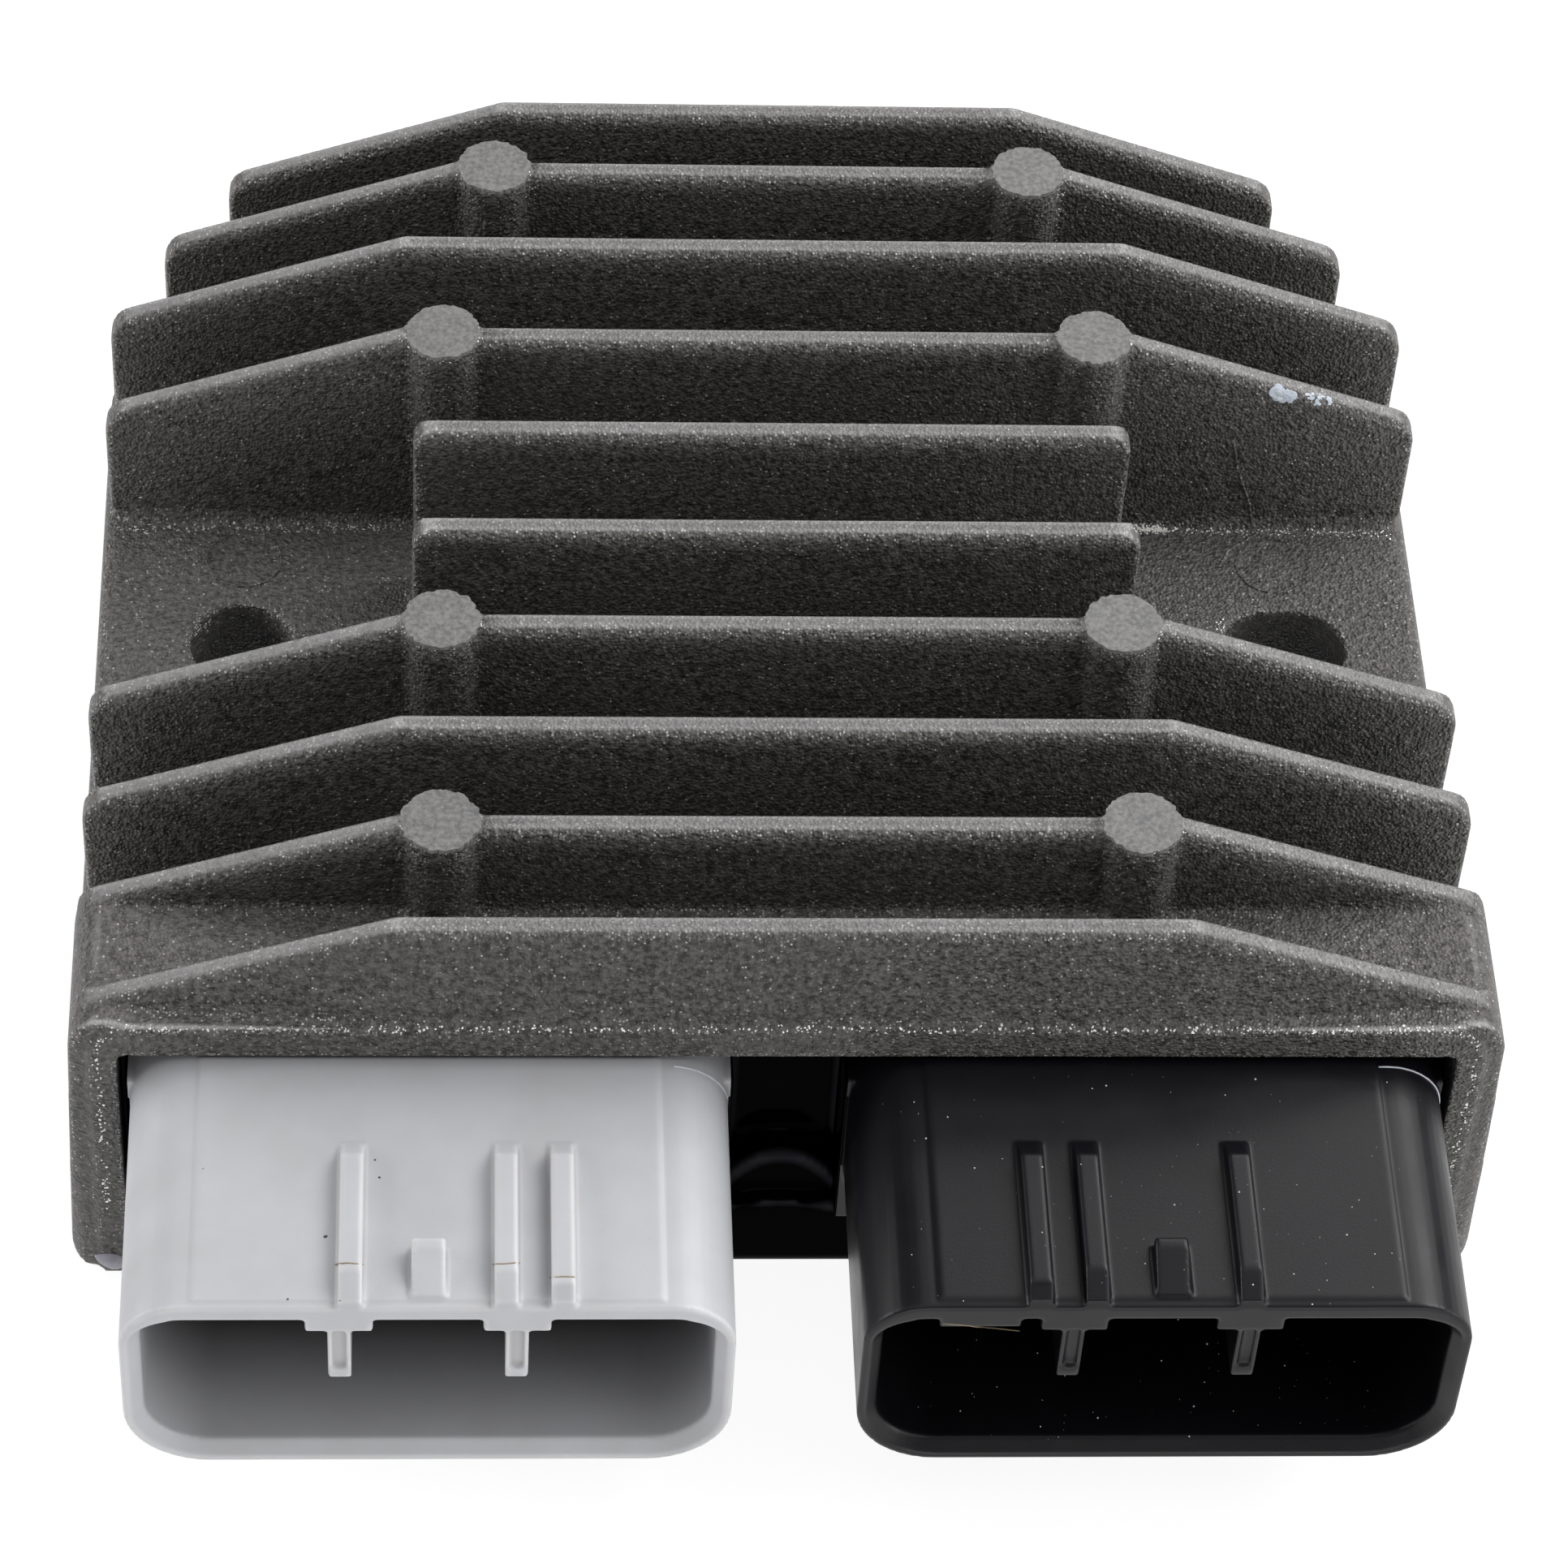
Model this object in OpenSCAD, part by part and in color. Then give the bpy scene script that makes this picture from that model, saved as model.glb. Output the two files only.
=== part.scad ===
// Voltage regulator rectifier: a finned die-cast housing, two three-way sockets side by side in its
// front, and the circuit board and power parts potted in resin inside.
// Millimetres. X runs to the right seen from the sockets, Y to the rear, Z up.
// The origin lies midway between the two mounting holes, in the plane of the underside.

/* [Housing] */
// Width across the sides at the underside
body_w = 93.6; // [92:0.2:96]
// Draft of the side walls, in degrees
side_draft = 1.8; // [1:0.1:2.5]
// Height of the deck that the fins and lugs rise from
deck_h = 16; // [15:0.1:17]
// Height of the fins above that deck
fin_h = 17; // [15:0.2:20]
// How far the raised deck over the sockets stands above it
front_rise = 9.8; // [9.2:0.1:11]
// Thickness of the roof over the inner cavity
roof_t = 3.1; // [2.6:0.1:3.6]
// Thickness of the roof over the sockets
front_roof_t = 2.6; // [2:0.1:3]
// Thickness of the side and rear walls at the underside
wall = 2.7; // [2.2:0.1:3.2]
// From the mounting holes to the front face
front_reach = 41.9; // [41.2:0.1:43]
// From the mounting holes to the rear face
rear_reach = 38.2; // [37.8:0.1:40]
// Radius of the upright front corners
front_corner_r = 1.7; // [0.8:0.1:2.4]
// Radius along the top edges of the front deck
front_edge_r = 2.6; // [1.5:0.1:3]
// Radius along the top edges of the side lugs
lug_edge_r = 1.2; // [0.4:0.1:2]
// Radius along the lower outer edges
bottom_edge_r = 1.4; // [0.5:0.1:1.8]

/* [Fins] */
// Thickness of a fin at its crest
fin_top_t = 2; // [1.7:0.1:2.3]
// Radius along the edges of a crest
crest_r = 0.75; // [0.3:0.05:0.8]
// Draft of each fin face, in degrees
fin_draft = 2.7; // [1:0.1:3]
// Angle at which the crests fall away to the sides, in degrees
fin_slope = 20.3; // [15:0.1:23]
// How far the ends of the full fins lie inside the sides at the underside
fin_inset = 0.9; // [0.8:0.1:2]
// From the end of a full fin in to the level part of its crest
fin_fall_w = 20.7; // [18:0.1:22]
// How far an end of the second fin from the rear lies inside the full fins' ends
second_fin_inset = 3.5; // [2.5:0.1:4.5]
// From the end of the second fin in to the level part of its crest
second_fin_fall_w = 20.75; // [18:0.05:22]
// How far an end of the rearmost fin lies inside the full fins' ends
rear_fin_inset = 7.9; // [6.5:0.1:9]
// From the end of the rearmost fin in to the level part of its crest
rear_fin_fall_w = 19.65; // [17:0.05:21]
// From a mounting hole's middle in to the end of the two short fins
short_fin_gap = 11.85; // [11:0.05:13]
// Radius at the top corners of the full fins' ends
fin_end_r = 2.8; // [1.5:0.1:4]
// Radius at the top corners of the short fins
short_fin_end_r = 1.6; // [0.8:0.1:3]
// How far the upright end of a fin is rounded
fin_nose = 1; // [0.6:0.1:1.2]
// Radius of the fillet at the foot of a fin
foot_r = 0.4; // [0.3:0.1:1]
// From the mounting holes back to the rearmost fin
rear_fin_y = 36.3; // [36:0.1:36.6]
// Steps from each fin to the next, from the rear to the front
fin_steps = [6.3, 7.6, 9, 8.9, 9.1, 8.7, 8.9, 8.4, 8.4];
// Forward lean of the foremost fin, in degrees
front_fin_lean = 11; // [8:0.5:12]

/* [Ejector posts] */
// Diameter of the posts cast on four of the fins
post_d = 5; // [4:0.1:6]
// From the kink of a fin's crest in to the middle of its post
post_back = 2.75; // [2:0.05:4]
// How far a post stands above the crests
post_rise = 0.15; // [0.05:0.05:0.5]
// Diameter of the ejector rings on the lugs
ring_d = 5.2; // [4:0.1:6]
// Depth of the ejector rings
ring_depth = 0.15; // [0.1:0.05:0.3]
// From the mounting holes back to the ejector rings
ring_back = 7.9; // [7:0.1:8.5]

/* [Mounting holes] */
// From the side at the underside in to the middle of a mounting hole
hole_inset = 10.5; // [9.8:0.1:11.2]
// Diameter of the round hole and width of the slot
hole_d = 7; // [6:0.1:7.4]
// Length of the slot
slot_l = 8.7; // [7.8:0.1:9.6]
// Diameter of the solid column round each hole
column_d = 15.2; // [13:0.1:17]

/* [Front frame] */
// Width of the frame beside the opening that the sockets stand in
frame_side_w = 3.9; // [3.4:0.1:4.2]
// Radius at the upper corners of the opening
opening_r = 0.7; // [0.4:0.1:1]
// Width of the raised border at the sides of the opening
border_w = 1.8; // [1.2:0.1:2.2]
// Radius at the upper corners of the raised border
border_r = 3; // [2:0.1:3.6]
// How far the border stands proud of the frame and of the foremost fin's face
ledge_t = 0.35; // [0.2:0.05:0.5]

/* [Sockets] */
// Gap between the two socket shells
shell_gap = 7.9; // [7:0.1:9]
// Gap between a shell and the side of the opening
side_gap = 0.75; // [0.5:0.05:1.2]
// Height of a socket shell
shell_h = 16.6; // [16.2:0.1:17]
// Wall of a socket shell
shell_t = 1.3; // [1.1:0.05:1.5]
// Radius at the two upper corners of a shell
shell_top_r = 4; // [3:0.1:4.4]
// Radius at the two lower corners of a shell
shell_bottom_r = 5.4; // [4:0.1:6]
// How far the shells stand out of the housing
shell_out = 19.2; // [18:0.1:21]
// Depth of a socket from its mouth to its floor
socket_depth = 20.5; // [19.6:0.1:21]
// Gap between a shell's raised panel and the opening above it
panel_gap = 0.35; // [0.2:0.05:0.5]
// Height of the raised panel on top of a shell
panel_rise = 0.15; // [0.1:0.05:0.4]
// From the side of a shell in to its raised panel
panel_inset = 4.6; // [4.2:0.1:6]
// From the mouth to the front edge of the raised panel
panel_back = 0.6; // [0.3:0.05:1.2]
// Bevel inside the mouth, along its sides and its lower edge
mouth_bevel = 0.85; // [0.4:0.05:1]
// How far the rails behind the frame's face stand out at the shell's sides
collar = 0.35; // [0.2:0.05:0.4]
// From the top of a shell down to the top of its side rails
rail_drop = 2.4; // [1:0.1:4]
// How far the rails lie behind the frame's face
collar_back = 0.3; // [0.1:0.1:0.8]
// Thickness of the plug of plastic behind the socket floor
plug_t = 6; // [5:0.1:7]

/* [Keys on the sockets] */
// Width of a coding rib
rib_w = 1.5; // [1.2:0.1:1.8]
// Height of a coding rib above the raised panel
rib_h = 1.3; // [0.8:0.1:1.6]
// Length of a coding rib
rib_l = 12.6; // [10:0.1:14]
// From the mouth to the front end of a rib
rib_back = 0.1; // [0.1:0.05:0.5]
// Length of the sloping foremost part of the two inner ribs
rib_ramp_l = 1.9; // [1:0.1:4]
// Length of the sloping foremost part of the outer rib
outer_rib_ramp_l = 0.9; // [0.5:0.1:3]
// Length of the sloping rear end of a rib
rib_tail_l = 1.9; // [0.5:0.1:3]
// Height of a rib at its front end
rib_front_h = 0.35; // [0.2:0.05:0.6]
// Distance of the two inner coding ribs from the middle of the socket
rib_inner_x = 4.8; // [4:0.1:5.5]
// Distance of the outer coding rib from the middle of the socket
rib_outer_x = 8.3; // [7.8:0.1:10]
// Width of the catch that the plug's latch snaps over
catch_w = 2.15; // [1.8:0.05:3]
// Length of the catch
catch_l = 3.65; // [2.5:0.05:4]
// From the mouth to the front of the catch
catch_back = 0.75; // [0.6:0.05:2.5]
// Distance between the two dividers in a socket
divider_spacing = 11; // [10.6:0.1:11.4]
// How far the dark socket's dividers are shifted to the left
divider_shift = 0.55; // [0.3:0.05:0.8]
// Width of a divider's top plate
divider_plate_w = 4.2; // [3.5:0.1:4.6]
// Thickness of a divider's top plate
divider_plate_t = 1.2; // [0.8:0.1:1.6]
// Thickness of a divider's upright web
divider_web_t = 1.45; // [1.2:0.05:1.8]
// How far a divider hangs down from the shell's inner face
divider_drop = 6.1; // [5:0.1:6.3]
// Width of the groove in the front of a divider's web
groove_w = 0.9; // [0.6:0.1:1]
// Depth of that groove
groove_depth = 0.4; // [0.2:0.1:0.8]
// Width of the extra key in the dark socket's left way
key_w = 5.1; // [4:0.1:5.4]
// Thickness of the extra key
key_t = 0.8; // [0.4:0.1:1]

/* [Terminals] */
// Width of a terminal blade
blade_w = 6.3; // [4.8:0.1:7]
// Thickness of a terminal blade
blade_t = 0.8; // [0.6:0.1:1]
// From an outer blade's edge to the shell's inner side
blade_side_gap = 3.25; // [2:0.05:4]
// From the mouth to the blade tips
blade_back = 8; // [6:0.1:10]
// Bevel at the corners of a blade's tip
blade_bevel = 1; // [0.4:0.1:1.4]
// Width of the tail that is soldered to the board
tail_w = 4; // [3:0.1:4.6]
// How far a tail reaches under the board
tail_lap = 4; // [3:0.1:5]
// From the plug of plastic to the bend in the tail
tail_bend_back = 1; // [0.4:0.1:1.2]

/* [Resin] */
// How far the resin lies behind the front face
resin_back = 0.9; // [0.4:0.1:1.2]
// How far the resin sinks back above its lip
meniscus_depth = 3; // [2:0.1:3.6]
// Height of the arch of resin that climbs between the shells, above its lip
arch_h = 4.7; // [3:0.1:7]
// Height of the lower arch in front of it, above the lip
low_arch_h = 0.8; // [0.4:0.1:2]
// How far the high arch lies behind the low one
arch_step = 0.9; // [0.4:0.1:1.6]
// From the side of the opening out to the middle of the bead of sealant at the left foot
bead_side = 1.3; // [0.9:0.1:1.6]
// Radius of the bead
bead_r = 1.1; // [0.8:0.1:1.3]
// How far the bead stands out of the front face
bead_out = 0.7; // [0.4:0.1:0.8]

/* [Circuit board] */
// Gap between the circuit board and a mounting column
board_gap = 1.2; // [0.8:0.1:2]
// From the side in to the part of the board behind the sockets
board_inset = 7.8; // [6.5:0.1:9]
// Thickness of the circuit board
board_t = 1.6; // [1:0.1:2]
// Thickness of the insulating pad between the board and the housing
pad_t = 0.3; // [0.2:0.1:0.6]
// From the mounting holes to the board's front edge
board_front = 27; // [26:0.5:28]
// From the mounting holes to the board's rear edge
board_rear = 29; // [27:0.5:30]
// Width of a power switch's moulded body
switch_w = 10.2; // [9:0.1:11]
// Length of a power switch's moulded body
switch_l = 8.8; // [8:0.1:9.4]
// Height of a power switch
switch_h = 4.4; // [3.5:0.1:5]
// From the side of the board in to the outermost power switch
switch_edge = 1.5; // [1:0.1:4]
// Distance between the two rows of power switches
switch_row_pitch = 17; // [16:0.5:18]
// Diameter of a filter capacitor
cap_d = 8; // [6:0.5:9]
// Height of a filter capacitor
cap_h = 8.5; // [7:0.5:10]
// From the side of the board in to the middle of a filter capacitor
cap_edge = 6; // [5:0.1:9]
// Length of the control chip
chip_l = 10.3; // [8:0.1:12]
// Width of the control chip's moulded body
chip_w = 5.5; // [4:0.1:6]
// Height of the control chip
chip_h = 2.3; // [1.6:0.1:2.6]
// Length of a sense resistor
resistor_l = 6.4; // [5:0.1:7]
// Width of a sense resistor
resistor_w = 3.2; // [2.5:0.1:3.6]
// Height of a sense resistor
resistor_h = 0.7; // [0.5:0.1:1]
// From the middle of a filter capacitor in to the middle of a sense resistor
resistor_gap = 13; // [10:0.5:15]

/* [Hidden] */
$fn = 48;

// Small overlap that keeps cuts and joined solids from ending on one plane
eps = 0.01;
// Steps in a quarter turn where a rounded corner is drawn as a polygon, and on the shells
steps = 4;
shell_steps = 10;

fin_count = len(fin_steps) + 1;
short_fins = [4, 5];
post_fins = [1, 3, 6, 8];
front_fin = fin_count - 1;
deck_fin = fin_count - 2;

half_body = body_w / 2;
half_hole_spacing = half_body - hole_inset;
full_half = half_body - fin_inset;
total_h = deck_h + fin_h;
front_deck_h = deck_h + front_rise;
ceiling = deck_h - roof_t;
opening_top = front_deck_h - front_roof_t;
opening_w = body_w - 2 * frame_side_w;
front_y = -front_reach;
frame_y = front_y + ledge_t;
step_y = fin_y(deck_fin) - fin_top_t / 2;
front_fin_base = front_deck_h - fin_end_r - 1;
front_fin_limit = fin_y(front_fin) - frame_y - 5 * eps;

shell_w = (opening_w - shell_gap) / 2 - side_gap;
socket_pitch = shell_w + shell_gap;
panel_w = shell_w - 2 * panel_inset;
blade_pitch = (shell_w - blade_w) / 2 - shell_t - blade_side_gap;

shell_top = opening_top - panel_gap - panel_rise;
shell_bottom = shell_top - shell_h;
panel_top = shell_top + panel_rise;
inner_top = shell_top - shell_t;
mouth_y = front_y - shell_out;
floor_y = mouth_y + socket_depth;
plug_end_y = floor_y + plug_t;
collar_y = front_y + collar_back;
blade_z = (shell_top + shell_bottom) / 2;
blade_tip_y = mouth_y + blade_back;
bend_y = plug_end_y + tail_bend_back;

pad_bottom = ceiling - pad_t;
board_bottom = pad_bottom - board_t;
tail_end_y = -board_front + tail_lap;
part_row_y = -(board_front + column_d / 2) / 2 + 2;
resin_y = front_y + resin_back;
dam_h = shell_bottom - collar;

board_w = 2 * half_hole_spacing - column_d - 2 * board_gap;
board_front_w = body_w - 2 * board_inset;
switch_pitch = (board_w - switch_w) / 2 - switch_edge;
cap_x = board_front_w / 2 - cap_edge;
resistor_x = cap_x - resistor_gap;

grey_x = -socket_pitch / 2;
black_x = socket_pitch / 2;
grey_dividers = [-divider_spacing / 2, divider_spacing / 2];
black_dividers = [for (x = grey_dividers) x - divider_shift];
grey_ribs = [-rib_inner_x, rib_inner_x, rib_outer_x];
black_ribs = [for (x = grey_ribs) -x];

// Where the fins stand, and how wide they are
function sum_to(list, n) = n == 0 ? 0 : list[n - 1] + sum_to(list, n - 1);
function fin_y(i) = rear_fin_y - sum_to(fin_steps, i);
function is_short(i) = i == short_fins[0] || i == short_fins[1];
function fin_half(i) = is_short(i) ? half_hole_spacing - short_fin_gap
    : full_half - (i == 0 ? rear_fin_inset : i == 1 ? second_fin_inset : 0);
function fin_half_flat(i) =
    fin_half(i) - (i == 0 ? rear_fin_fall_w : i == 1 ? second_fin_fall_w : fin_fall_w);
function post_x(i) = fin_half_flat(i) - post_back;

// Points along an arc with radii rx and ry, from angle a to angle b
function arc(centre, rx, ry, a, b, n) = [
    for (i = [0:n]) centre + [rx * cos(a + (b - a) * i / n), ry * sin(a + (b - a) * i / n)]
];
// Points of a rounded corner
function corner(centre, r, a, n = steps) = arc(centre, r, r, a, a + 90, n);
// Points of an upright plate's outline from z0 up to z1, with only its upper corners rounded
function gate(half, z0, z1, r) =
    concat([[-half, z0], [half, z0]], corner([half - r, z1 - r], r, 0), corner([r - half, z1 - r], r, 90));
// Half width of the drafted housing at a height
function half_w_at(z) = half_body - z * tan(side_draft);

// Lays a profile drawn in X and Z along Y, from y0 to y1
module along_y(y0, y1) {
    translate([0, y1, 0]) rotate([90, 0, 0]) linear_extrude(y1 - y0) children();
}

// Lays a profile drawn in Y and Z along X, from x0 to x1
module along_x(x0, x1) {
    translate([x0, 0, 0]) rotate([90, 0, 90]) linear_extrude(x1 - x0) children();
}

// Housing: one casting, a drafted box with fins, posts and lugs on top and a cavity below

// Plan of the housing, drawn in by a margin; the rear corners follow the ends of the rear fins
module plan(inset) {
    half = half_body - inset;
    r = max(front_corner_r - inset, 0.3);
    right = [
        [half, fin_y(2) + fin_top_t / 2],
        [fin_half(1) + fin_inset - inset, fin_y(1) + fin_top_t / 2 - inset / 2],
        [fin_half(0) + fin_inset - inset, rear_reach - inset * 1.2],
        [fin_half(0) + fin_inset - 1.5 * inset, rear_reach - inset]
    ];
    polygon(concat(
        corner([r - half, frame_y + inset + r], r, 180),
        corner([half - r, frame_y + inset + r], r, 270),
        right,
        [for (i = [len(right) - 1:-1:0]) [-right[i].x, right[i].y]]
    ));
}

// Cross-section of the drafted box up to a height, with rounded edges
module box_section(height, edge_r) {
    half = half_w_at(height);
    low = half_w_at(bottom_edge_r);
    polygon(concat(
        corner([bottom_edge_r - low, bottom_edge_r], bottom_edge_r, 180),
        corner([low - bottom_edge_r, bottom_edge_r], bottom_edge_r, 270),
        corner([half - edge_r, height - edge_r], edge_r, 0),
        corner([edge_r - half, height - edge_r], edge_r, 90)
    ));
}

// Cross-section through a fin, crest at height 0; each side spreads by the draft, and a lean
// carries the whole plate forward with depth, as far as the limit
module fin_section(depth, lean, limit) {
    reach = depth - crest_r;
    half = fin_top_t / 2;
    front = min(half + reach * tan(fin_draft + lean), limit);
    turn = crest_r + (front - half) / tan(fin_draft + lean);
    polygon(concat(
        corner([half - crest_r, -crest_r], crest_r, 0),
        corner([crest_r - half, -crest_r], crest_r, 90),
        turn < depth - eps ? [[-front, -turn]] : [],
        [[-front, -depth], [half + reach * tan(fin_draft - lean), -depth]]
    ));
}

// Plan of the right end of a fin, from the middle out to its rounded nose
module nose_plan(half) {
    t = fin_top_t / 2 + fin_nose;
    wide = 3 * t;
    polygon(concat(
        [[-eps, -wide], [half - fin_nose, -wide]],
        arc([half - fin_nose, 0], fin_nose, t, -90, 90, 2 * steps),
        [[half - fin_nose, wide], [-eps, wide]]
    ));
}

// The level part of a fin between the mitres at its two kinks, seen from the front
module level_side(flat_half, base) {
    low = flat_half - (total_h - base) * tan(fin_slope / 2);
    high = flat_half + tan(fin_slope / 2);
    polygon([[-low, base], [low, base], [high, total_h + 1], [-high, total_h + 1]]);
}

// The falling part of a fin on its right, from the mitre to the rounded corner at the end
module slope_side(half, flat_half, base) {
    low = flat_half - (total_h - base) * tan(fin_slope / 2);
    end_z = total_h - (half - flat_half) * tan(fin_slope);
    centre = [half - fin_end_r, end_z + fin_end_r * tan(fin_slope) - fin_end_r / cos(fin_slope)];
    polygon(concat(
        [[low, base], [half, base]],
        arc(centre, fin_end_r, fin_end_r, 0, 90 - fin_slope, steps),
        [[flat_half + tan(fin_slope / 2), total_h + 1]]
    ));
}

// A full fin at Y 0: a level middle and two falling ends
module long_fin(half, flat_half, base, lean = 0, limit = total_h) {
    depth = total_h - base + fin_top_t;
    reach = (half - flat_half) / cos(fin_slope) + fin_end_r;
    intersection() {
        translate([0, 0, total_h]) along_x(-half, half) fin_section(depth, lean, limit);
        along_y(-depth, depth) level_side(flat_half, base);
    }
    for (side = [0, 1]) mirror([side, 0, 0]) intersection() {
        translate([flat_half, 0, total_h]) rotate([0, fin_slope, 0])
            along_x(-depth, reach) fin_section(depth, lean, limit);
        along_y(-depth, depth) slope_side(half, flat_half, base);
        translate([0, 0, base]) linear_extrude(total_h) nose_plan(half);
    }
}

// A short fin at Y 0, level from end to end
module short_fin(half, base) {
    r = short_fin_end_r;
    intersection() {
        translate([0, 0, total_h]) along_x(-half, half) fin_section(total_h - base, 0, total_h);
        along_y(-total_h, total_h) polygon(concat(
            [[-half, base], [half, base]],
            corner([half - r, total_h - r], r, 0),
            corner([r - half, total_h - r], r, 90)
        ));
        translate([0, 0, base]) linear_extrude(total_h) union() {
            nose_plan(half);
            mirror([1, 0]) nose_plan(half);
        }
    }
}

// Fillets along both sides of a fin's foot
module foot(half, z) {
    t = fin_top_t / 2 + (total_h - z - foot_r) * tan(fin_draft) - eps;
    translate([0, 0, z]) along_x(-half, half) polygon(concat(
        [[-t - foot_r, -foot_r]],
        arc([-t - foot_r, foot_r], foot_r, foot_r, -90, 0, steps),
        arc([t + foot_r, foot_r], foot_r, foot_r, 180, 270, steps),
        [[t + foot_r, -foot_r]]
    ));
}

// The fins, each on the deck at its own place, with the fillets at their feet
module fins() {
    for (i = [0:front_fin - 1]) translate([0, fin_y(i), 0])
        if (is_short(i)) short_fin(fin_half(i), deck_h - 1);
        else long_fin(fin_half(i), fin_half_flat(i), deck_h - 1);
    translate([0, fin_y(front_fin), 0]) long_fin(
        fin_half(front_fin), fin_half_flat(front_fin), front_fin_base, front_fin_lean, front_fin_limit
    );
    intersection() {
        for (i = [0:front_fin - 1]) translate([0, fin_y(i), 0])
            foot(fin_half(i) - fin_nose - foot_r, deck_h);
        linear_extrude(total_h) plan(0);
    }
}

// Solid columns round the mounting holes, joined to the side walls, seen from above
module columns_plan() {
    for (side = [-1, 1]) {
        translate([side * half_hole_spacing, 0]) circle(d = column_d);
        translate([side > 0 ? half_hole_spacing : -half_body - 1, -column_d / 2])
            square([hole_inset + 1, column_d]);
    }
}

// The space for the electronics: low under the rear deck and high behind the sockets
module cavity(bottom, front_end) {
    difference() {
        union() {
            translate([0, 0, bottom]) linear_extrude(ceiling - bottom) plan(wall);
            intersection() {
                translate([0, 0, bottom]) linear_extrude(opening_top - bottom) plan(wall);
                translate([-body_w, front_y, bottom - 1]) cube([2 * body_w, step_y - front_y, total_h]);
            }
            along_y(front_end, frame_y + wall + eps)
                polygon(gate(opening_w / 2, bottom, opening_top, opening_r));
        }
        translate([0, 0, bottom - 1]) linear_extrude(total_h) columns_plan();
    }
}

module round_hole(x) {
    translate([x, 0, -1]) cylinder(h = deck_h + 2, d = hole_d);
}

module mounting_holes() {
    stretch = slot_l - hole_d;
    round_hole(-half_hole_spacing);
    for (end = [-1, 1]) round_hole(half_hole_spacing + end * stretch / 2);
    translate([half_hole_spacing - stretch / 2, -hole_d / 2, -1]) cube([stretch, hole_d, deck_h + 2]);
}

module heatsink_housing() {
    color("#4b4a49") difference() {
        union() {
            intersection() {
                along_y(front_y - 1, rear_reach + 1) box_section(deck_h, lug_edge_r);
                linear_extrude(total_h) plan(0);
            }
            intersection() {
                along_y(front_y - 1, fin_y(deck_fin)) box_section(front_deck_h, front_edge_r);
                linear_extrude(total_h) plan(0);
            }
            along_y(front_y, frame_y + 1)
                polygon(gate(opening_w / 2 + border_w, 0, front_deck_h, border_r));
            fins();
            for (i = post_fins, side = [-1, 1]) translate([side * post_x(i), fin_y(i), deck_h - 1])
                cylinder(h = total_h + post_rise - deck_h + 1, d = post_d);
        }
        cavity(-1, front_y - 2);
        mounting_holes();
        for (side = [-1, 1]) translate([side * half_hole_spacing, ring_back, deck_h - ring_depth])
            cylinder(h = 1, d = ring_d);
    }
}

// Sockets: moulded shells with coding ribs and a catch on top and dividers inside

// Points of a shell's outline, with the sides and bottom grown by one margin and the top by
// another; the upper corners go over from one to the other
function shell_points(grow, grow_top) = concat(
    corner([shell_bottom_r - shell_w / 2, shell_bottom + shell_bottom_r],
        shell_bottom_r + grow, 180, shell_steps),
    corner([shell_w / 2 - shell_bottom_r, shell_bottom + shell_bottom_r],
        shell_bottom_r + grow, 270, shell_steps),
    arc([shell_w / 2 - shell_top_r, shell_top - shell_top_r],
        shell_top_r + grow, shell_top_r + grow_top, 0, 90, shell_steps),
    arc([shell_top_r - shell_w / 2, shell_top - shell_top_r],
        shell_top_r + grow, shell_top_r + grow_top, 90, 180, shell_steps)
);

module shell_outline(grow) {
    polygon(shell_points(grow, grow));
}

// The plug of plastic behind the socket floor with the rails at its sides, which the resin grips
module plug_block() {
    along_y(collar_y, plug_end_y) shell_outline(0);
    translate([-shell_w / 2 - collar, collar_y, dam_h])
        cube([shell_w + 2 * collar, plug_end_y - collar_y, shell_top - rail_drop - dam_h]);
}

// A coding rib at X 0: a ramp at the front, then level, with a sloping rear end
module coding_rib(ramp_l) {
    front = mouth_y + rib_back;
    sunk = shell_top - eps;
    along_x(-rib_w / 2, rib_w / 2) polygon([
        [front, sunk], [front, panel_top + rib_front_h],
        [front + ramp_l, panel_top + rib_h], [front + rib_l - rib_tail_l, panel_top + rib_h],
        [front + rib_l, panel_top], [front + rib_l, sunk]
    ]);
}

// The catch at X 0: a wedge that rises to the rear
module latch_catch() {
    front = mouth_y + catch_back;
    sunk = shell_top - eps;
    along_x(-catch_w / 2, catch_w / 2) polygon([
        [front, sunk], [front, panel_top + rib_front_h / 2],
        [front + 0.8 * catch_l, panel_top + rib_h], [front + catch_l, panel_top + rib_h],
        [front + catch_l, sunk]
    ]);
}

// A divider at X 0: a plate under the shell's top wall and a web that hangs from it
module divider() {
    along_y(mouth_y, floor_y + eps) translate([-divider_plate_w / 2, inner_top - divider_plate_t])
        square([divider_plate_w, divider_plate_t + eps]);
    difference() {
        along_y(mouth_y, floor_y + eps) translate([-divider_web_t / 2, inner_top - divider_drop])
            square([divider_web_t, divider_drop]);
        translate([-groove_w / 2, mouth_y - 1, inner_top - divider_drop + groove_w])
            cube([groove_w, 1 + groove_depth, divider_drop - divider_plate_t - groove_w]);
    }
}

// The bevel in the mouth: a funnel that narrows to the rear at 45 degrees, and fades out at the top
module mouth_funnel() {
    extra = mouth_bevel / 10;
    front = shell_points(mouth_bevel + extra - shell_t, -shell_t - extra);
    rear = shell_points(-shell_t - extra, -shell_t - 2 * extra);
    n = len(front);
    polyhedron(
        points = concat(
            [for (p = front) [p.x, mouth_y - extra, p.y]],
            [for (p = rear) [p.x, mouth_y + mouth_bevel + extra, p.y]]
        ),
        faces = concat(
            [[for (i = [n - 1:-1:0]) i], [for (i = [0:n - 1]) n + i]],
            [for (i = [0:n - 1]) [i, n + (i + 1) % n, n + i]],
            [for (i = [0:n - 1]) [i, (i + 1) % n, n + (i + 1) % n]]
        )
    );
}

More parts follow.
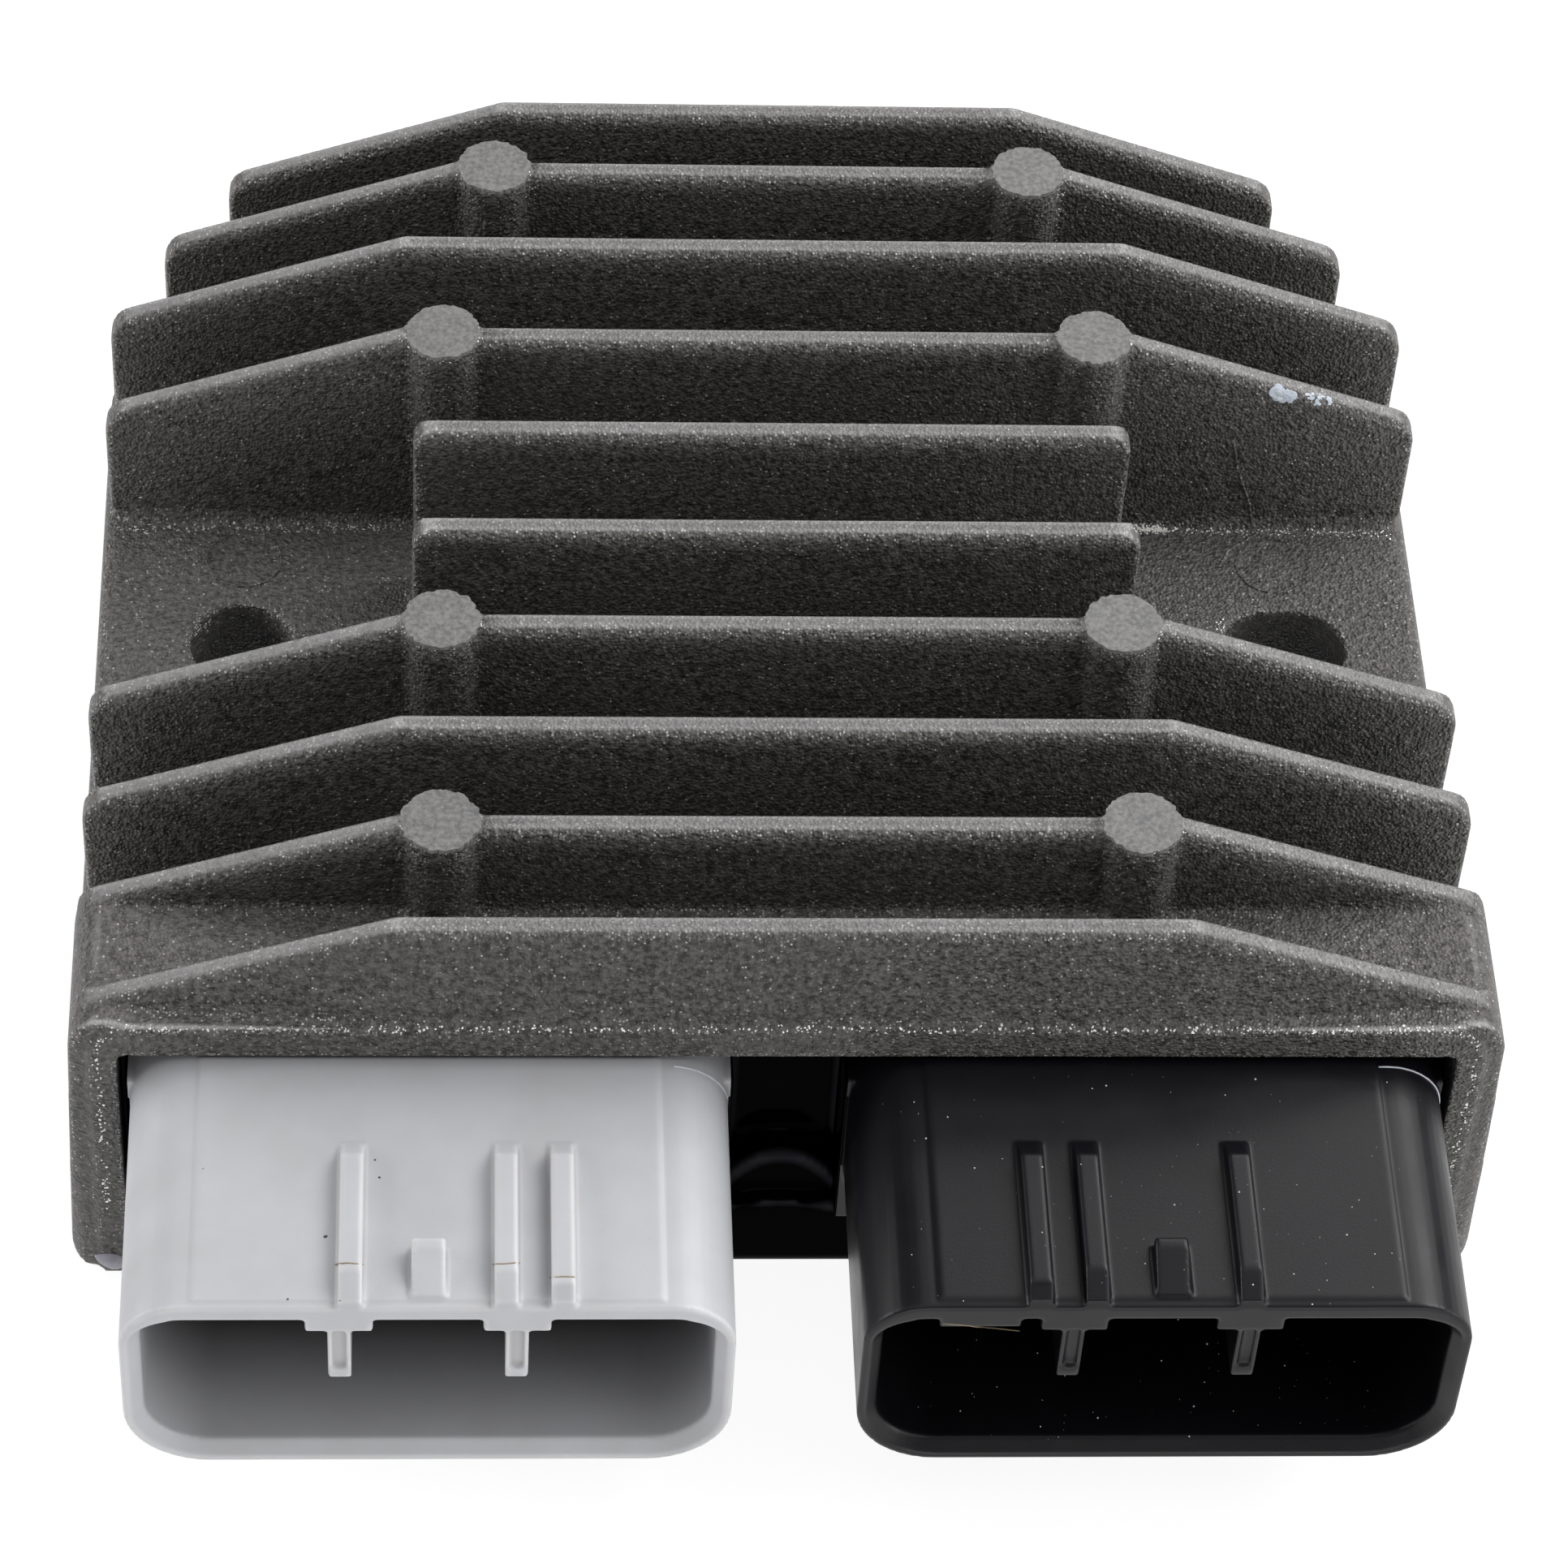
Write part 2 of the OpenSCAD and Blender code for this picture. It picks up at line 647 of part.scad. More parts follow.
// The hollow of a socket
module socket_hollow() {
    along_y(mouth_y - 1, floor_y) shell_outline(-shell_t);
    mouth_funnel();
}

module socket(middle, ribs, dividers, has_key) {
    translate([middle, 0, 0]) difference() {
        union() {
            difference() {
                union() {
                    along_y(mouth_y, collar_y + eps) shell_outline(0);
                    plug_block();
                    translate([-panel_w / 2, mouth_y + panel_back, shell_top - eps])
                        cube([panel_w, collar_y - mouth_y - panel_back + eps, panel_rise + eps]);
                    for (x = ribs) translate([x, 0, 0])
                        coding_rib(abs(x) == rib_outer_x ? outer_rib_ramp_l : rib_ramp_l);
                    latch_catch();
                }
                socket_hollow();
            }
            for (x = dividers) translate([x, 0, 0]) divider();
            if (has_key) translate([-blade_pitch - divider_shift - key_w / 2, mouth_y, inner_top - key_t])
                cube([key_w, floor_y - mouth_y + eps, key_t + eps]);
        }
        for (way = [-1:1]) translate([way * blade_pitch - blade_w / 2, floor_y - 1, blade_z - blade_t / 2])
            cube([blade_w, plug_t + 2, blade_t]);
    }
}

module grey_socket() {
    color("#93938f") socket(grey_x, grey_ribs, grey_dividers, false);
}

module black_socket() {
    color("#232223") socket(black_x, black_ribs, black_dividers, true);
}

// Terminals: flat blades that step down behind the plug and run on under the circuit board
module terminal(x) {
    low = board_bottom - blade_t;
    high = blade_z + blade_t / 2;
    half = blade_w / 2;
    color("#c9c2a8") translate([x, 0, 0]) {
        translate([0, 0, blade_z - blade_t / 2]) linear_extrude(blade_t) polygon([
            [-half, plug_end_y], [-half, blade_tip_y + blade_bevel], [blade_bevel - half, blade_tip_y],
            [half - blade_bevel, blade_tip_y], [half, blade_tip_y + blade_bevel], [half, plug_end_y]
        ]);
        along_x(-tail_w / 2, tail_w / 2) polygon([
            [plug_end_y - eps, high - blade_t], [bend_y, high - blade_t], [bend_y, low],
            [tail_end_y, low], [tail_end_y, board_bottom], [bend_y + blade_t, board_bottom],
            [bend_y + blade_t, high], [plug_end_y - eps, high]
        ]);
    }
}

// Electronics: the board hangs from an insulating pad under the deck, with its parts below it

// Plan of the board, wide behind the sockets and narrow between the mounting columns
module board_plan() {
    wide = board_front_w / 2;
    narrow = board_w / 2;
    shoulder = -column_d / 2 - 1.5;
    polygon([
        [-wide, -board_front], [wide, -board_front], [wide, shoulder], [narrow, shoulder],
        [narrow, board_rear], [-narrow, board_rear], [-narrow, shoulder], [-wide, shoulder]
    ]);
}

module insulating_pad() {
    color("#a8b4b8") translate([0, 0, pad_bottom]) linear_extrude(pad_t) board_plan();
}

module circuit_board() {
    color("#2f5a3c") translate([0, 0, board_bottom]) linear_extrude(board_t) board_plan();
}

// Place of a power switch: three from side to side, in two rows
function switch_at(n) = [(n % 3 - 1) * switch_pitch, column_d / 4 + floor(n / 3) * switch_row_pitch];

// A power switch under the board: its metal tab, the moulded body with tapered sides and two leads
module power_switch(n) {
    taper = switch_h / 8;
    tab_t = switch_h * 0.3;
    color("#2a2a2c") translate([switch_at(n).x, switch_at(n).y, board_bottom]) {
        along_y(-switch_l / 2, switch_l / 2) polygon([
            [-switch_w / 2, 0], [taper - switch_w / 2, -switch_h],
            [switch_w / 2 - taper, -switch_h], [switch_w / 2, 0]
        ]);
        translate([-switch_w / 2, 0, -tab_t]) cube([switch_w, switch_l / 2 + tab_t, tab_t]);
        for (side = [-1, 1])
            translate([side * switch_w / 4 - tab_t / 4, -switch_l / 2 - 2 * tab_t, -tab_t / 2])
                cube([tab_t / 2, 2 * tab_t + eps, tab_t / 2]);
    }
}

// The control chip under the board, with a row of pins along each side
module control_chip() {
    pin_pitch = 1.27;
    pins = floor(chip_l / pin_pitch);
    color("#262628") translate([0, part_row_y, board_bottom]) {
        translate([-chip_l / 2, -chip_w / 2, -chip_h]) cube([chip_l, chip_w, chip_h]);
        for (i = [0:pins - 1], side = [0, 1]) mirror([0, side, 0])
            translate([(i - (pins - 1) / 2) * pin_pitch - 0.2, chip_w / 2 - eps, -chip_h / 2])
                cube([0.4, 1 + eps, chip_h / 2]);
    }
}

// A filter capacitor under the board: a can on a square foot
module filter_capacitor(side) {
    foot_t = cap_h / 8;
    color("#b9bcc0") translate([side * cap_x, part_row_y, board_bottom]) {
        translate([-cap_d / 2, -cap_d / 2, -foot_t]) cube([cap_d, cap_d, foot_t]);
        translate([0, 0, -cap_h]) cylinder(h = cap_h - foot_t + eps, d = cap_d);
    }
}

module sense_resistor(side) {
    color("#3a3230") translate([side * resistor_x, part_row_y, board_bottom])
        translate([-resistor_l / 2, -resistor_w / 2, -resistor_h]) cube([resistor_l, resistor_w, resistor_h]);
}

// Everything that is held under the deck, for the resin to flow round
module held_in_resin() {
    insulating_pad();
    circuit_board();
    for (n = [0:5]) power_switch(n);
    control_chip();
    for (side = [-1, 1]) {
        filter_capacitor(side);
        sense_resistor(side);
    }
    for (middle = [grey_x, black_x]) {
        translate([middle, 0, 0]) plug_block();
        for (way = [-1:1]) terminal(middle + way * blade_pitch);
    }
}

// Cut in front of the resin above the lip that it forms under the shells
module meniscus_cut() {
    translate([-body_w, front_y - 1, dam_h]) cube([2 * body_w, resin_back + meniscus_depth + 1, total_h]);
}

// An arch of resin that climbs between the shells, from a depth behind the lip's face
module resin_arch(back, height) {
    half = shell_gap / 2;
    along_y(resin_y + back, resin_y + meniscus_depth + eps) polygon(concat(
        [[-half, dam_h - 1], [half, dam_h - 1]],
        arc([0, dam_h], half, height, 0, 180, 3 * steps)
    ));
}

module potting_resin() {
    color("#121113") difference() {
        union() {
            difference() {
                cavity(0, resin_y);
                meniscus_cut();
            }
            resin_arch(0, low_arch_h);
            resin_arch(arch_step, arch_h);
        }
        held_in_resin();
    }
}

// A dab of sealant where the left foot of the frame meets the underside
module sealant_bead() {
    sink = bead_r - bead_out;
    color("#b9b4bd") difference() {
        translate([-opening_w / 2 - bead_side, front_y + sink, bead_r]) sphere(r = bead_r);
        translate([-body_w, front_y, -1]) cube([body_w, 2 * bead_r, 4 * bead_r]);
    }
}

heatsink_housing();
grey_socket();
black_socket();
terminal(grey_x - blade_pitch);  // grey_terminal_left
terminal(grey_x);  // grey_terminal_middle
terminal(grey_x + blade_pitch);  // grey_terminal_right
terminal(black_x - blade_pitch);  // black_terminal_left
terminal(black_x);  // black_terminal_middle
terminal(black_x + blade_pitch);  // black_terminal_right
potting_resin();
sealant_bead();
circuit_board();
insulating_pad();
power_switch(0);  // power_switch_1
power_switch(1);  // power_switch_2
power_switch(2);  // power_switch_3
power_switch(3);  // power_switch_4
power_switch(4);  // power_switch_5
power_switch(5);  // power_switch_6
control_chip();
filter_capacitor(-1);  // filter_capacitor_1
filter_capacitor(1);  // filter_capacitor_2
sense_resistor(-1);  // sense_resistor_1
sense_resistor(1);  // sense_resistor_2
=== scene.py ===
# %% [markdown]
# # Dressing a voltage regulator rectifier
# A motorcycle's voltage regulator rectifier turns the generator's current into a steady supply.
# It is a finned aluminium casting with two plastic sockets in its front, and its electronics are
# drowned in black resin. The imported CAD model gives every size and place. This lesson gives it
# the look of the real one: cast edges, a gritty coating, moulded plastic, wet-looking resin.

# %% Load the frame
import bmesh
import bpy
import math
import numpy as np
from mathutils import Matrix, Vector
from mathutils.bvhtree import BVHTree


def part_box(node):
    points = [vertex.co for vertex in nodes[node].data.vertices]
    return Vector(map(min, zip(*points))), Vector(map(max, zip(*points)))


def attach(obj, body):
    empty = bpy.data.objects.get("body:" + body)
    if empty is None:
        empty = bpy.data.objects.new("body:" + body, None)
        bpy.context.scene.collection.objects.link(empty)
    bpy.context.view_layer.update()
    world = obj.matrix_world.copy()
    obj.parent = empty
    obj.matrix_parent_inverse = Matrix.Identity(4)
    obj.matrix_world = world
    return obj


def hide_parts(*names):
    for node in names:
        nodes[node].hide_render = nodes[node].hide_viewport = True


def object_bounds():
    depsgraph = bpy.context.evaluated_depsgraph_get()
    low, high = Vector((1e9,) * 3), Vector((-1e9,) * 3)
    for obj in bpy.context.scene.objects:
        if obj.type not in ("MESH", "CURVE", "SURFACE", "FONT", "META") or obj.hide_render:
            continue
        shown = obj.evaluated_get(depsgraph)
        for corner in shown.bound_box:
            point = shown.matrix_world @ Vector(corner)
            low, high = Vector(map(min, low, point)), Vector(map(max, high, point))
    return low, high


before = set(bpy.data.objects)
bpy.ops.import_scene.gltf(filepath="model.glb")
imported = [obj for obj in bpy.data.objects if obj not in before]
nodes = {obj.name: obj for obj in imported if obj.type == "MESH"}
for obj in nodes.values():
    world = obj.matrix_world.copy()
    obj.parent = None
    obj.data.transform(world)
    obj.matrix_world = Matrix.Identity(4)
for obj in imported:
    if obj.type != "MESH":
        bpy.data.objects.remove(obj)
scene = bpy.context.scene
cad_low, cad_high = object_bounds()
MM = 0.001
print("CAD nodes:", len(nodes), "box in mm:", [round(v / MM, 2) for v in (*cad_low, *cad_high)])

# %% [markdown]
# ## Camera
# The camera is solved, not guessed. A small fit in another script found the place and turn from
# which the holes, posts and fin ends fall on their pixels. Only its answer is written here. A lens
# is a ratio, so the focal length in pixels becomes millimetres on a 36 mm wide sensor.

# %% Camera
IMAGE_SIDE = 1932
FOCAL_PIXELS = 6923.75
SENSOR_WIDTH = 36.0
CAMERA_PLACE = Vector((-21.873, -262.183, 305.437)) * MM
CAMERA_DOWN = 0.857340713
CAMERA_TURN = 0.0909161
CAMERA_ROLL = 0.0728557

forward = Vector((math.sin(CAMERA_TURN) * math.cos(CAMERA_DOWN),
                  math.cos(CAMERA_TURN) * math.cos(CAMERA_DOWN),
                  -math.sin(CAMERA_DOWN)))
level_right = Vector((math.cos(CAMERA_TURN), -math.sin(CAMERA_TURN), 0))
level_up = level_right.cross(forward)
right = level_right * math.cos(CAMERA_ROLL) + level_up * math.sin(CAMERA_ROLL)
up = level_up * math.cos(CAMERA_ROLL) - level_right * math.sin(CAMERA_ROLL)

camera_data = bpy.data.cameras.new("product_camera")
camera_data.sensor_width = SENSOR_WIDTH
camera_data.lens = FOCAL_PIXELS / IMAGE_SIDE * SENSOR_WIDTH
camera_data.clip_start = 0.01
camera = bpy.data.objects.new("product_camera", camera_data)
camera.matrix_world = Matrix.Translation(CAMERA_PLACE) @ Matrix((right, up, -forward)).transposed().to_4x4()
scene.collection.objects.link(camera)
scene.camera = camera
print("lens:", round(camera_data.lens, 2), "mm, distance:", round(CAMERA_PLACE.length, 3), "m")

# %% [markdown]
# ## Two helpers for materials
# Colours are written as sRGB hex, as a picture editor shows them, but sockets take linear values,
# so one function turns them. A second one adds a node with its settings and its links. Every
# pattern scale comes from a real size in millimetres, because Object coordinates are in metres.

# %% Helpers for materials
def linear(hex_colour):
    """Turn an sRGB hex colour into the linear RGBA that a socket takes."""
    parts = [int(hex_colour[i:i + 2], 16) / 255 for i in (1, 3, 5)]
    return tuple(c / 12.92 if c <= 0.04045 else ((c + 0.055) / 1.055) ** 2.4 for c in parts) + (1.0,)


def add_node(tree, kind, inputs=None, **settings):
    """Add a node, set its properties, and set or link its inputs by name or number."""
    node = tree.nodes.new(kind)
    for name, value in settings.items():
        setattr(node, name, value)
    for key, value in (inputs or {}).items():
        if isinstance(value, bpy.types.NodeSocket):
            tree.links.new(value, node.inputs[key])
        else:
            node.inputs[key].default_value = value
    return node


def pattern_scale(size_mm):
    """Scale of a texture node whose cells are to be size_mm wide."""
    return 1 / (size_mm * MM)


def new_material(name, base, roughness, ior=1.5, metallic=0.0):
    """A Principled material with its typical values, and the coordinates that patterns read."""
    material = bpy.data.materials.new(name)
    material.use_nodes = True
    tree = material.node_tree
    surface = tree.nodes["Principled BSDF"]
    surface.inputs["Base Color"].default_value = linear(base)
    surface.inputs["Roughness"].default_value = roughness
    surface.inputs["IOR"].default_value = ior
    surface.inputs["Metallic"].default_value = metallic
    place = add_node(tree, "ShaderNodeTexCoord").outputs["Object"]
    return material, tree, surface, place


# The colour sockets of a Mix node are found by number: factor, A, B, and the result.
FACTOR, COLOUR_A, COLOUR_B, COLOUR_OUT = 0, 6, 7, 2
print("black and white turn to", linear("#000000")[0], linear("#ffffff")[0])

# %% [markdown]
# ## Coated casting
# The housing is ADC12 aluminium, pressure die-cast, blasted and dipped in a charcoal electrocoat.
# The coat dries over the blasted skin, so the eye gets dark sandpaper: grains about 0.25 mm wide. Level faces, and
# faces turned to the side, are painted paler, a painted sheen where the light falls on them. The fin crests are paler
# still, partly wear of the coat and partly painted sheen, and tiny bright points are painted highlights where a facet
# would catch the light. The points crowd along the rounded crest edges and in the feet, and the attribute named edge,
# which a later cell measures, says where those are.

# %% Coated casting material
coating, tree, surface, place = new_material("charcoal_coated_cast_aluminium", "#3b3936", 0.5, ior=1.5)
grain = add_node(tree, "ShaderNodeTexNoise",
                 {"Vector": place, "Scale": pattern_scale(0.42), "Detail": 2.0, "Roughness": 0.6})
grit = add_node(tree, "ShaderNodeTexVoronoi", {"Vector": place, "Scale": pattern_scale(0.24)})
cloud = add_node(tree, "ShaderNodeTexNoise",
                 {"Vector": place, "Scale": pattern_scale(7), "Detail": 3.0, "Roughness": 0.6})
edge = add_node(tree, "ShaderNodeAttribute", attribute_name="edge").outputs["Fac"]
facing = add_node(tree, "ShaderNodeNewGeometry").outputs["Normal"]
tilt = add_node(tree, "ShaderNodeSeparateXYZ", {0: facing})

grain_mask = add_node(tree, "ShaderNodeMapRange",
                      {"Value": grain.outputs["Fac"], "From Min": 0.36, "From Max": 0.66})
base = add_node(tree, "ShaderNodeMix",
                {FACTOR: grain_mask.outputs[0], COLOUR_A: linear("#2a2928"), COLOUR_B: linear("#62605d")},
                data_type="RGBA")
# Painted sheen: level faces, and faces turned to the left or right, get this paler pair of tones because light falls on
# them there.
pale = add_node(tree, "ShaderNodeMix",
                {FACTOR: grain_mask.outputs[0], COLOUR_A: linear("#3f3d3c"), COLOUR_B: linear("#6c6968")},
                data_type="RGBA")
upward = add_node(tree, "ShaderNodeMapRange", {"Value": tilt.outputs["Z"], "From Min": 0.72, "From Max": 0.94})
aside = add_node(tree, "ShaderNodeMath", {0: tilt.outputs["X"]}, operation="ABSOLUTE")
sideways = add_node(tree, "ShaderNodeMapRange", {"Value": aside.outputs[0], "From Min": 0.25, "From Max": 0.8})
painted_sheen_mask = add_node(tree, "ShaderNodeMath", {0: upward.outputs[0], 1: sideways.outputs[0]}, operation="MAXIMUM")
sheen_painted = add_node(tree, "ShaderNodeMix",
                    {FACTOR: painted_sheen_mask.outputs[0], COLOUR_A: base.outputs[COLOUR_OUT],
                     COLOUR_B: pale.outputs[COLOUR_OUT]}, data_type="RGBA")
# The fin crests, where they face up and not forward, turn paler: partly wear of the coat, partly painted sheen from the
# light above and behind.
crest_bend = add_node(tree, "ShaderNodeMapRange", {"Value": edge, "From Min": 0.02, "From Max": 0.14})
not_front = add_node(tree, "ShaderNodeMapRange",
                     {"Value": tilt.outputs["Y"], "From Min": -0.5, "From Max": -0.12})
crest_level = add_node(tree, "ShaderNodeMath",
                       {0: upward.outputs[0], 1: not_front.outputs[0]}, operation="MULTIPLY")
above = add_node(tree, "ShaderNodeSeparateXYZ", {0: place})
on_fins = add_node(tree, "ShaderNodeMapRange", {"Value": above.outputs["Z"], "From Min": 0.0172, "From Max": 0.018})
fin_level = add_node(tree, "ShaderNodeMath",
                     {0: crest_level.outputs[0], 1: on_fins.outputs[0]}, operation="MULTIPLY")
crest_wear_and_sheen_mask = add_node(tree, "ShaderNodeMath",
                      {0: crest_bend.outputs[0], 1: fin_level.outputs[0]}, operation="MULTIPLY")
crest_wear_and_sheen = add_node(tree, "ShaderNodeMix",
                   {FACTOR: crest_wear_and_sheen_mask.outputs[0], COLOUR_A: sheen_painted.outputs[COLOUR_OUT],
                    COLOUR_B: linear("#a3a2a2")}, data_type="RGBA")
cloud_mask = add_node(tree, "ShaderNodeMapRange",
                      {"Value": cloud.outputs["Fac"], "From Min": 0.4, "From Max": 0.7,
                       "To Min": 0.0, "To Max": 0.2})
cloudy = add_node(tree, "ShaderNodeMix",
                  {FACTOR: cloud_mask.outputs[0], COLOUR_A: crest_wear_and_sheen.outputs[COLOUR_OUT],
                   COLOUR_B: linear("#575450")}, data_type="RGBA")

# Painted highlights: each Voronoi cell draws two numbers. The first says whether its point shines, the second how much.
turn = add_node(tree, "ShaderNodeMath", {0: edge}, operation="ABSOLUTE")
rarity = add_node(tree, "ShaderNodeMapRange",
                  {"Value": turn.outputs[0], "From Min": 0.04, "From Max": 0.2,
                   "To Min": 0.9, "To Max": 0.3})
spark = add_node(tree, "ShaderNodeTexVoronoi", {"Vector": place, "Scale": pattern_scale(0.2)})
draws = add_node(tree, "ShaderNodeSeparateColor", {"Color": spark.outputs["Color"]})
shines = add_node(tree, "ShaderNodeMath",
                  {0: draws.outputs[0], 1: rarity.outputs[0]}, operation="GREATER_THAN")
dot = add_node(tree, "ShaderNodeMapRange",
               {"Value": spark.outputs["Distance"], "From Min": 0.5, "From Max": 0.15})
strength = add_node(tree, "ShaderNodeMath", {0: draws.outputs[1], 1: dot.outputs[0]}, operation="MULTIPLY")
painted_glint_mask = add_node(tree, "ShaderNodeMath",
                      {0: shines.outputs[0], 1: strength.outputs[0]}, operation="MULTIPLY")
painted_glints = add_node(tree, "ShaderNodeMix",
                    {FACTOR: painted_glint_mask.outputs[0], COLOUR_A: cloudy.outputs[COLOUR_OUT],
                     COLOUR_B: linear("#d2d0ce")}, data_type="RGBA")
tree.links.new(painted_glints.outputs[COLOUR_OUT], surface.inputs["Base Color"])
gloss = add_node(tree, "ShaderNodeMapRange",
                 {"Value": grain.outputs["Fac"], "From Min": 0.3, "From Max": 0.7,
                  "To Min": 0.38, "To Max": 0.58})
tree.links.new(gloss.outputs[0], surface.inputs["Roughness"])
height = add_node(tree, "ShaderNodeMath",
                  {0: grain.outputs["Fac"], 1: grit.outputs["Distance"]}, operation="ADD")
bump = add_node(tree, "ShaderNodeBump", {"Height": height.outputs[0], "Strength": 1.0, "Distance": 0.00016})
tree.links.new(bump.outputs[0], surface.inputs["Normal"])
print("coating:", len(tree.nodes), "nodes")

# %% [markdown]
# ## Ejector marks, chips and dust
# The eight posts end in flats where the ejector pins pushed the casting out of its die. The pins are ground, so the
# flats are finer than the rest, and their paler colour is painted sheen on these level tops. Chips in the coat show
# bare metal.
# Specks of pale dust and of dark soot lie on the plastic.

# %% Ejector mark, bare metal and speck materials
# The flats' pale tones are painted sheen on these level tops.
pin_mark_and_sheen, tree, surface, place = new_material("coated_ejector_mark_and_sheen", "#7d7c7b", 0.5)
grain = add_node(tree, "ShaderNodeTexNoise",
                 {"Vector": place, "Scale": pattern_scale(0.35), "Detail": 4.0, "Roughness": 0.7})
tone = add_node(tree, "ShaderNodeMapRange", {"Value": grain.outputs["Fac"], "From Min": 0.38, "From Max": 0.62})
mixed = add_node(tree, "ShaderNodeMix",
                 {FACTOR: tone.outputs[0], COLOUR_A: linear("#5e5d5d"), COLOUR_B: linear("#807f7e")},
                 data_type="RGBA")
tree.links.new(mixed.outputs[COLOUR_OUT], surface.inputs["Base Color"])
bump = add_node(tree, "ShaderNodeBump", {"Height": grain.outputs["Fac"], "Strength": 0.4, "Distance": 0.00004})
tree.links.new(bump.outputs[0], surface.inputs["Normal"])

bare_metal, tree, surface, place = new_material("bare_cast_aluminium", "#e6e4e0", 0.4, metallic=1.0)
grain = add_node(tree, "ShaderNodeTexNoise", {"Vector": place, "Scale": pattern_scale(0.15), "Detail": 2.0})
bump = add_node(tree, "ShaderNodeBump", {"Height": grain.outputs["Fac"], "Strength": 0.6, "Distance": 0.00004})
tree.links.new(bump.outputs[0], surface.inputs["Normal"])


def speck_material(name, dark, pale):
    """Matte fluff or soot, a little uneven in tone."""
    material, tree, surface, place = new_material(name, pale, 0.85)
    fluff = add_node(tree, "ShaderNodeTexNoise", {"Vector": place, "Scale": pattern_scale(0.1)})
    mixed = add_node(tree, "ShaderNodeMix",
                     {FACTOR: fluff.outputs["Fac"], COLOUR_A: linear(dark), COLOUR_B: linear(pale)},
                     data_type="RGBA")
    tree.links.new(mixed.outputs[COLOUR_OUT], surface.inputs["Base Color"])
    return material


dust = speck_material("pale_dust", "#a9a8a6", "#e4e3e1")
soot = speck_material("dark_soot", "#2c2a28", "#57534e")
stain = speck_material("brown_moulding_residue", "#6e604c", "#a39276")
print("small finishes:", pin_mark_and_sheen.name, bare_metal.name, dust.name, soot.name, stain.name)

# %% [markdown]
# ## Moulded sockets
# Connector shells are PBT, filled with glass fibre and injection moulded. The grey one is satin, with handling dirt and
# painted shade in its creases, paler rounded edges that are partly wear and partly a painted highlight, painted shade
# deep in each mouth, and a brownish line where the mould's parts met. The black one is the same plastic with soot in
# it, so its sheen shows more than its colour.

# %% Moulded plastic materials
def moulded_plastic(name, body, worn_and_highlight, grime_and_shade, shaded, roughness, specular=0.5):
    """Satin glass-filled PBT: soft blotches, edges paler from wear and painted highlight, dirt and painted shade in
    creases, painted shade deep in the hollow, a fine spark-eroded skin.
    """
    material, tree, surface, place = new_material(name, body, roughness, ior=1.56)
    surface.inputs["Specular IOR Level"].default_value = specular
    blotch = add_node(tree, "ShaderNodeTexNoise",
                      {"Vector": place, "Scale": pattern_scale(5), "Detail": 3.0, "Roughness": 0.6})
    skin = add_node(tree, "ShaderNodeTexNoise",
                    {"Vector": place, "Scale": pattern_scale(0.16), "Detail": 3.0, "Roughness": 0.6})
    edge = add_node(tree, "ShaderNodeAttribute", attribute_name="edge").outputs["Fac"]
    blotch_mask = add_node(tree, "ShaderNodeMapRange",
                           {"Value": blotch.outputs["Fac"], "From Min": 0.35, "From Max": 0.7,
                            "To Min": 0.0, "To Max": 0.12})
    blotched = add_node(tree, "ShaderNodeMix",
                        {FACTOR: blotch_mask.outputs[0], COLOUR_A: linear(body), COLOUR_B: linear(grime_and_shade)},
                        data_type="RGBA")
    # Rounded edges turn paler: partly from wear, partly a painted highlight where they catch the light.
    worn_and_highlight_mask = add_node(tree, "ShaderNodeMapRange",
                         {"Value": edge, "From Min": 0.04, "From Max": 0.4, "To Min": 0.0, "To Max": 0.5})
    edged = add_node(tree, "ShaderNodeMix",
                     {FACTOR: worn_and_highlight_mask.outputs[0], COLOUR_A: blotched.outputs[COLOUR_OUT],
                      COLOUR_B: linear(worn_and_highlight)}, data_type="RGBA")
    # Creases turn darker and browner: partly dirt, partly painted shade where light falls less.
    crease_grime_and_shade_mask = add_node(tree, "ShaderNodeMapRange",
                          {"Value": edge, "From Min": -0.05, "From Max": -0.35, "To Min": 0.0, "To Max": 0.45})
    crease_grime_and_shade = add_node(tree, "ShaderNodeMix",
                     {FACTOR: crease_grime_and_shade_mask.outputs[0], COLOUR_A: edged.outputs[COLOUR_OUT],
                      COLOUR_B: linear(grime_and_shade)}, data_type="RGBA")
    # Painted shade: the deeper a point lies behind the mouth, the closer its colour comes to the shaded tone.
    hollow = add_node(tree, "ShaderNodeAttribute", attribute_name="hollow").outputs["Fac"]
    hollow_shade = add_node(tree, "ShaderNodeMix",
                     {FACTOR: hollow, COLOUR_A: crease_grime_and_shade.outputs[COLOUR_OUT], COLOUR_B: linear(shaded)},
                     data_type="RGBA")
    tree.links.new(hollow_shade.outputs[COLOUR_OUT], surface.inputs["Base Color"])
    gloss = add_node(tree, "ShaderNodeMapRange",
                     {"Value": blotch.outputs["Fac"], "From Min": 0.3, "From Max": 0.7,
                      "To Min": roughness - 0.05, "To Max": roughness + 0.06})
    tree.links.new(gloss.outputs[0], surface.inputs["Roughness"])
    bump = add_node(tree, "ShaderNodeBump",
                    {"Height": skin.outputs["Fac"], "Strength": 0.25, "Distance": 0.00003})
    tree.links.new(bump.outputs[0], surface.inputs["Normal"])
    return material


grey_pbt = moulded_plastic("grey_moulded_pbt", "#b9babe", "#e4e3e2", "#7d7468", "#2b292a", 0.45)
black_pbt = moulded_plastic("black_moulded_pbt", "#0b0b10", "#1a1a1f", "#060608", "#030303", 0.36, specular=0.26)
print("plastics:", grey_pbt.name, black_pbt.name)

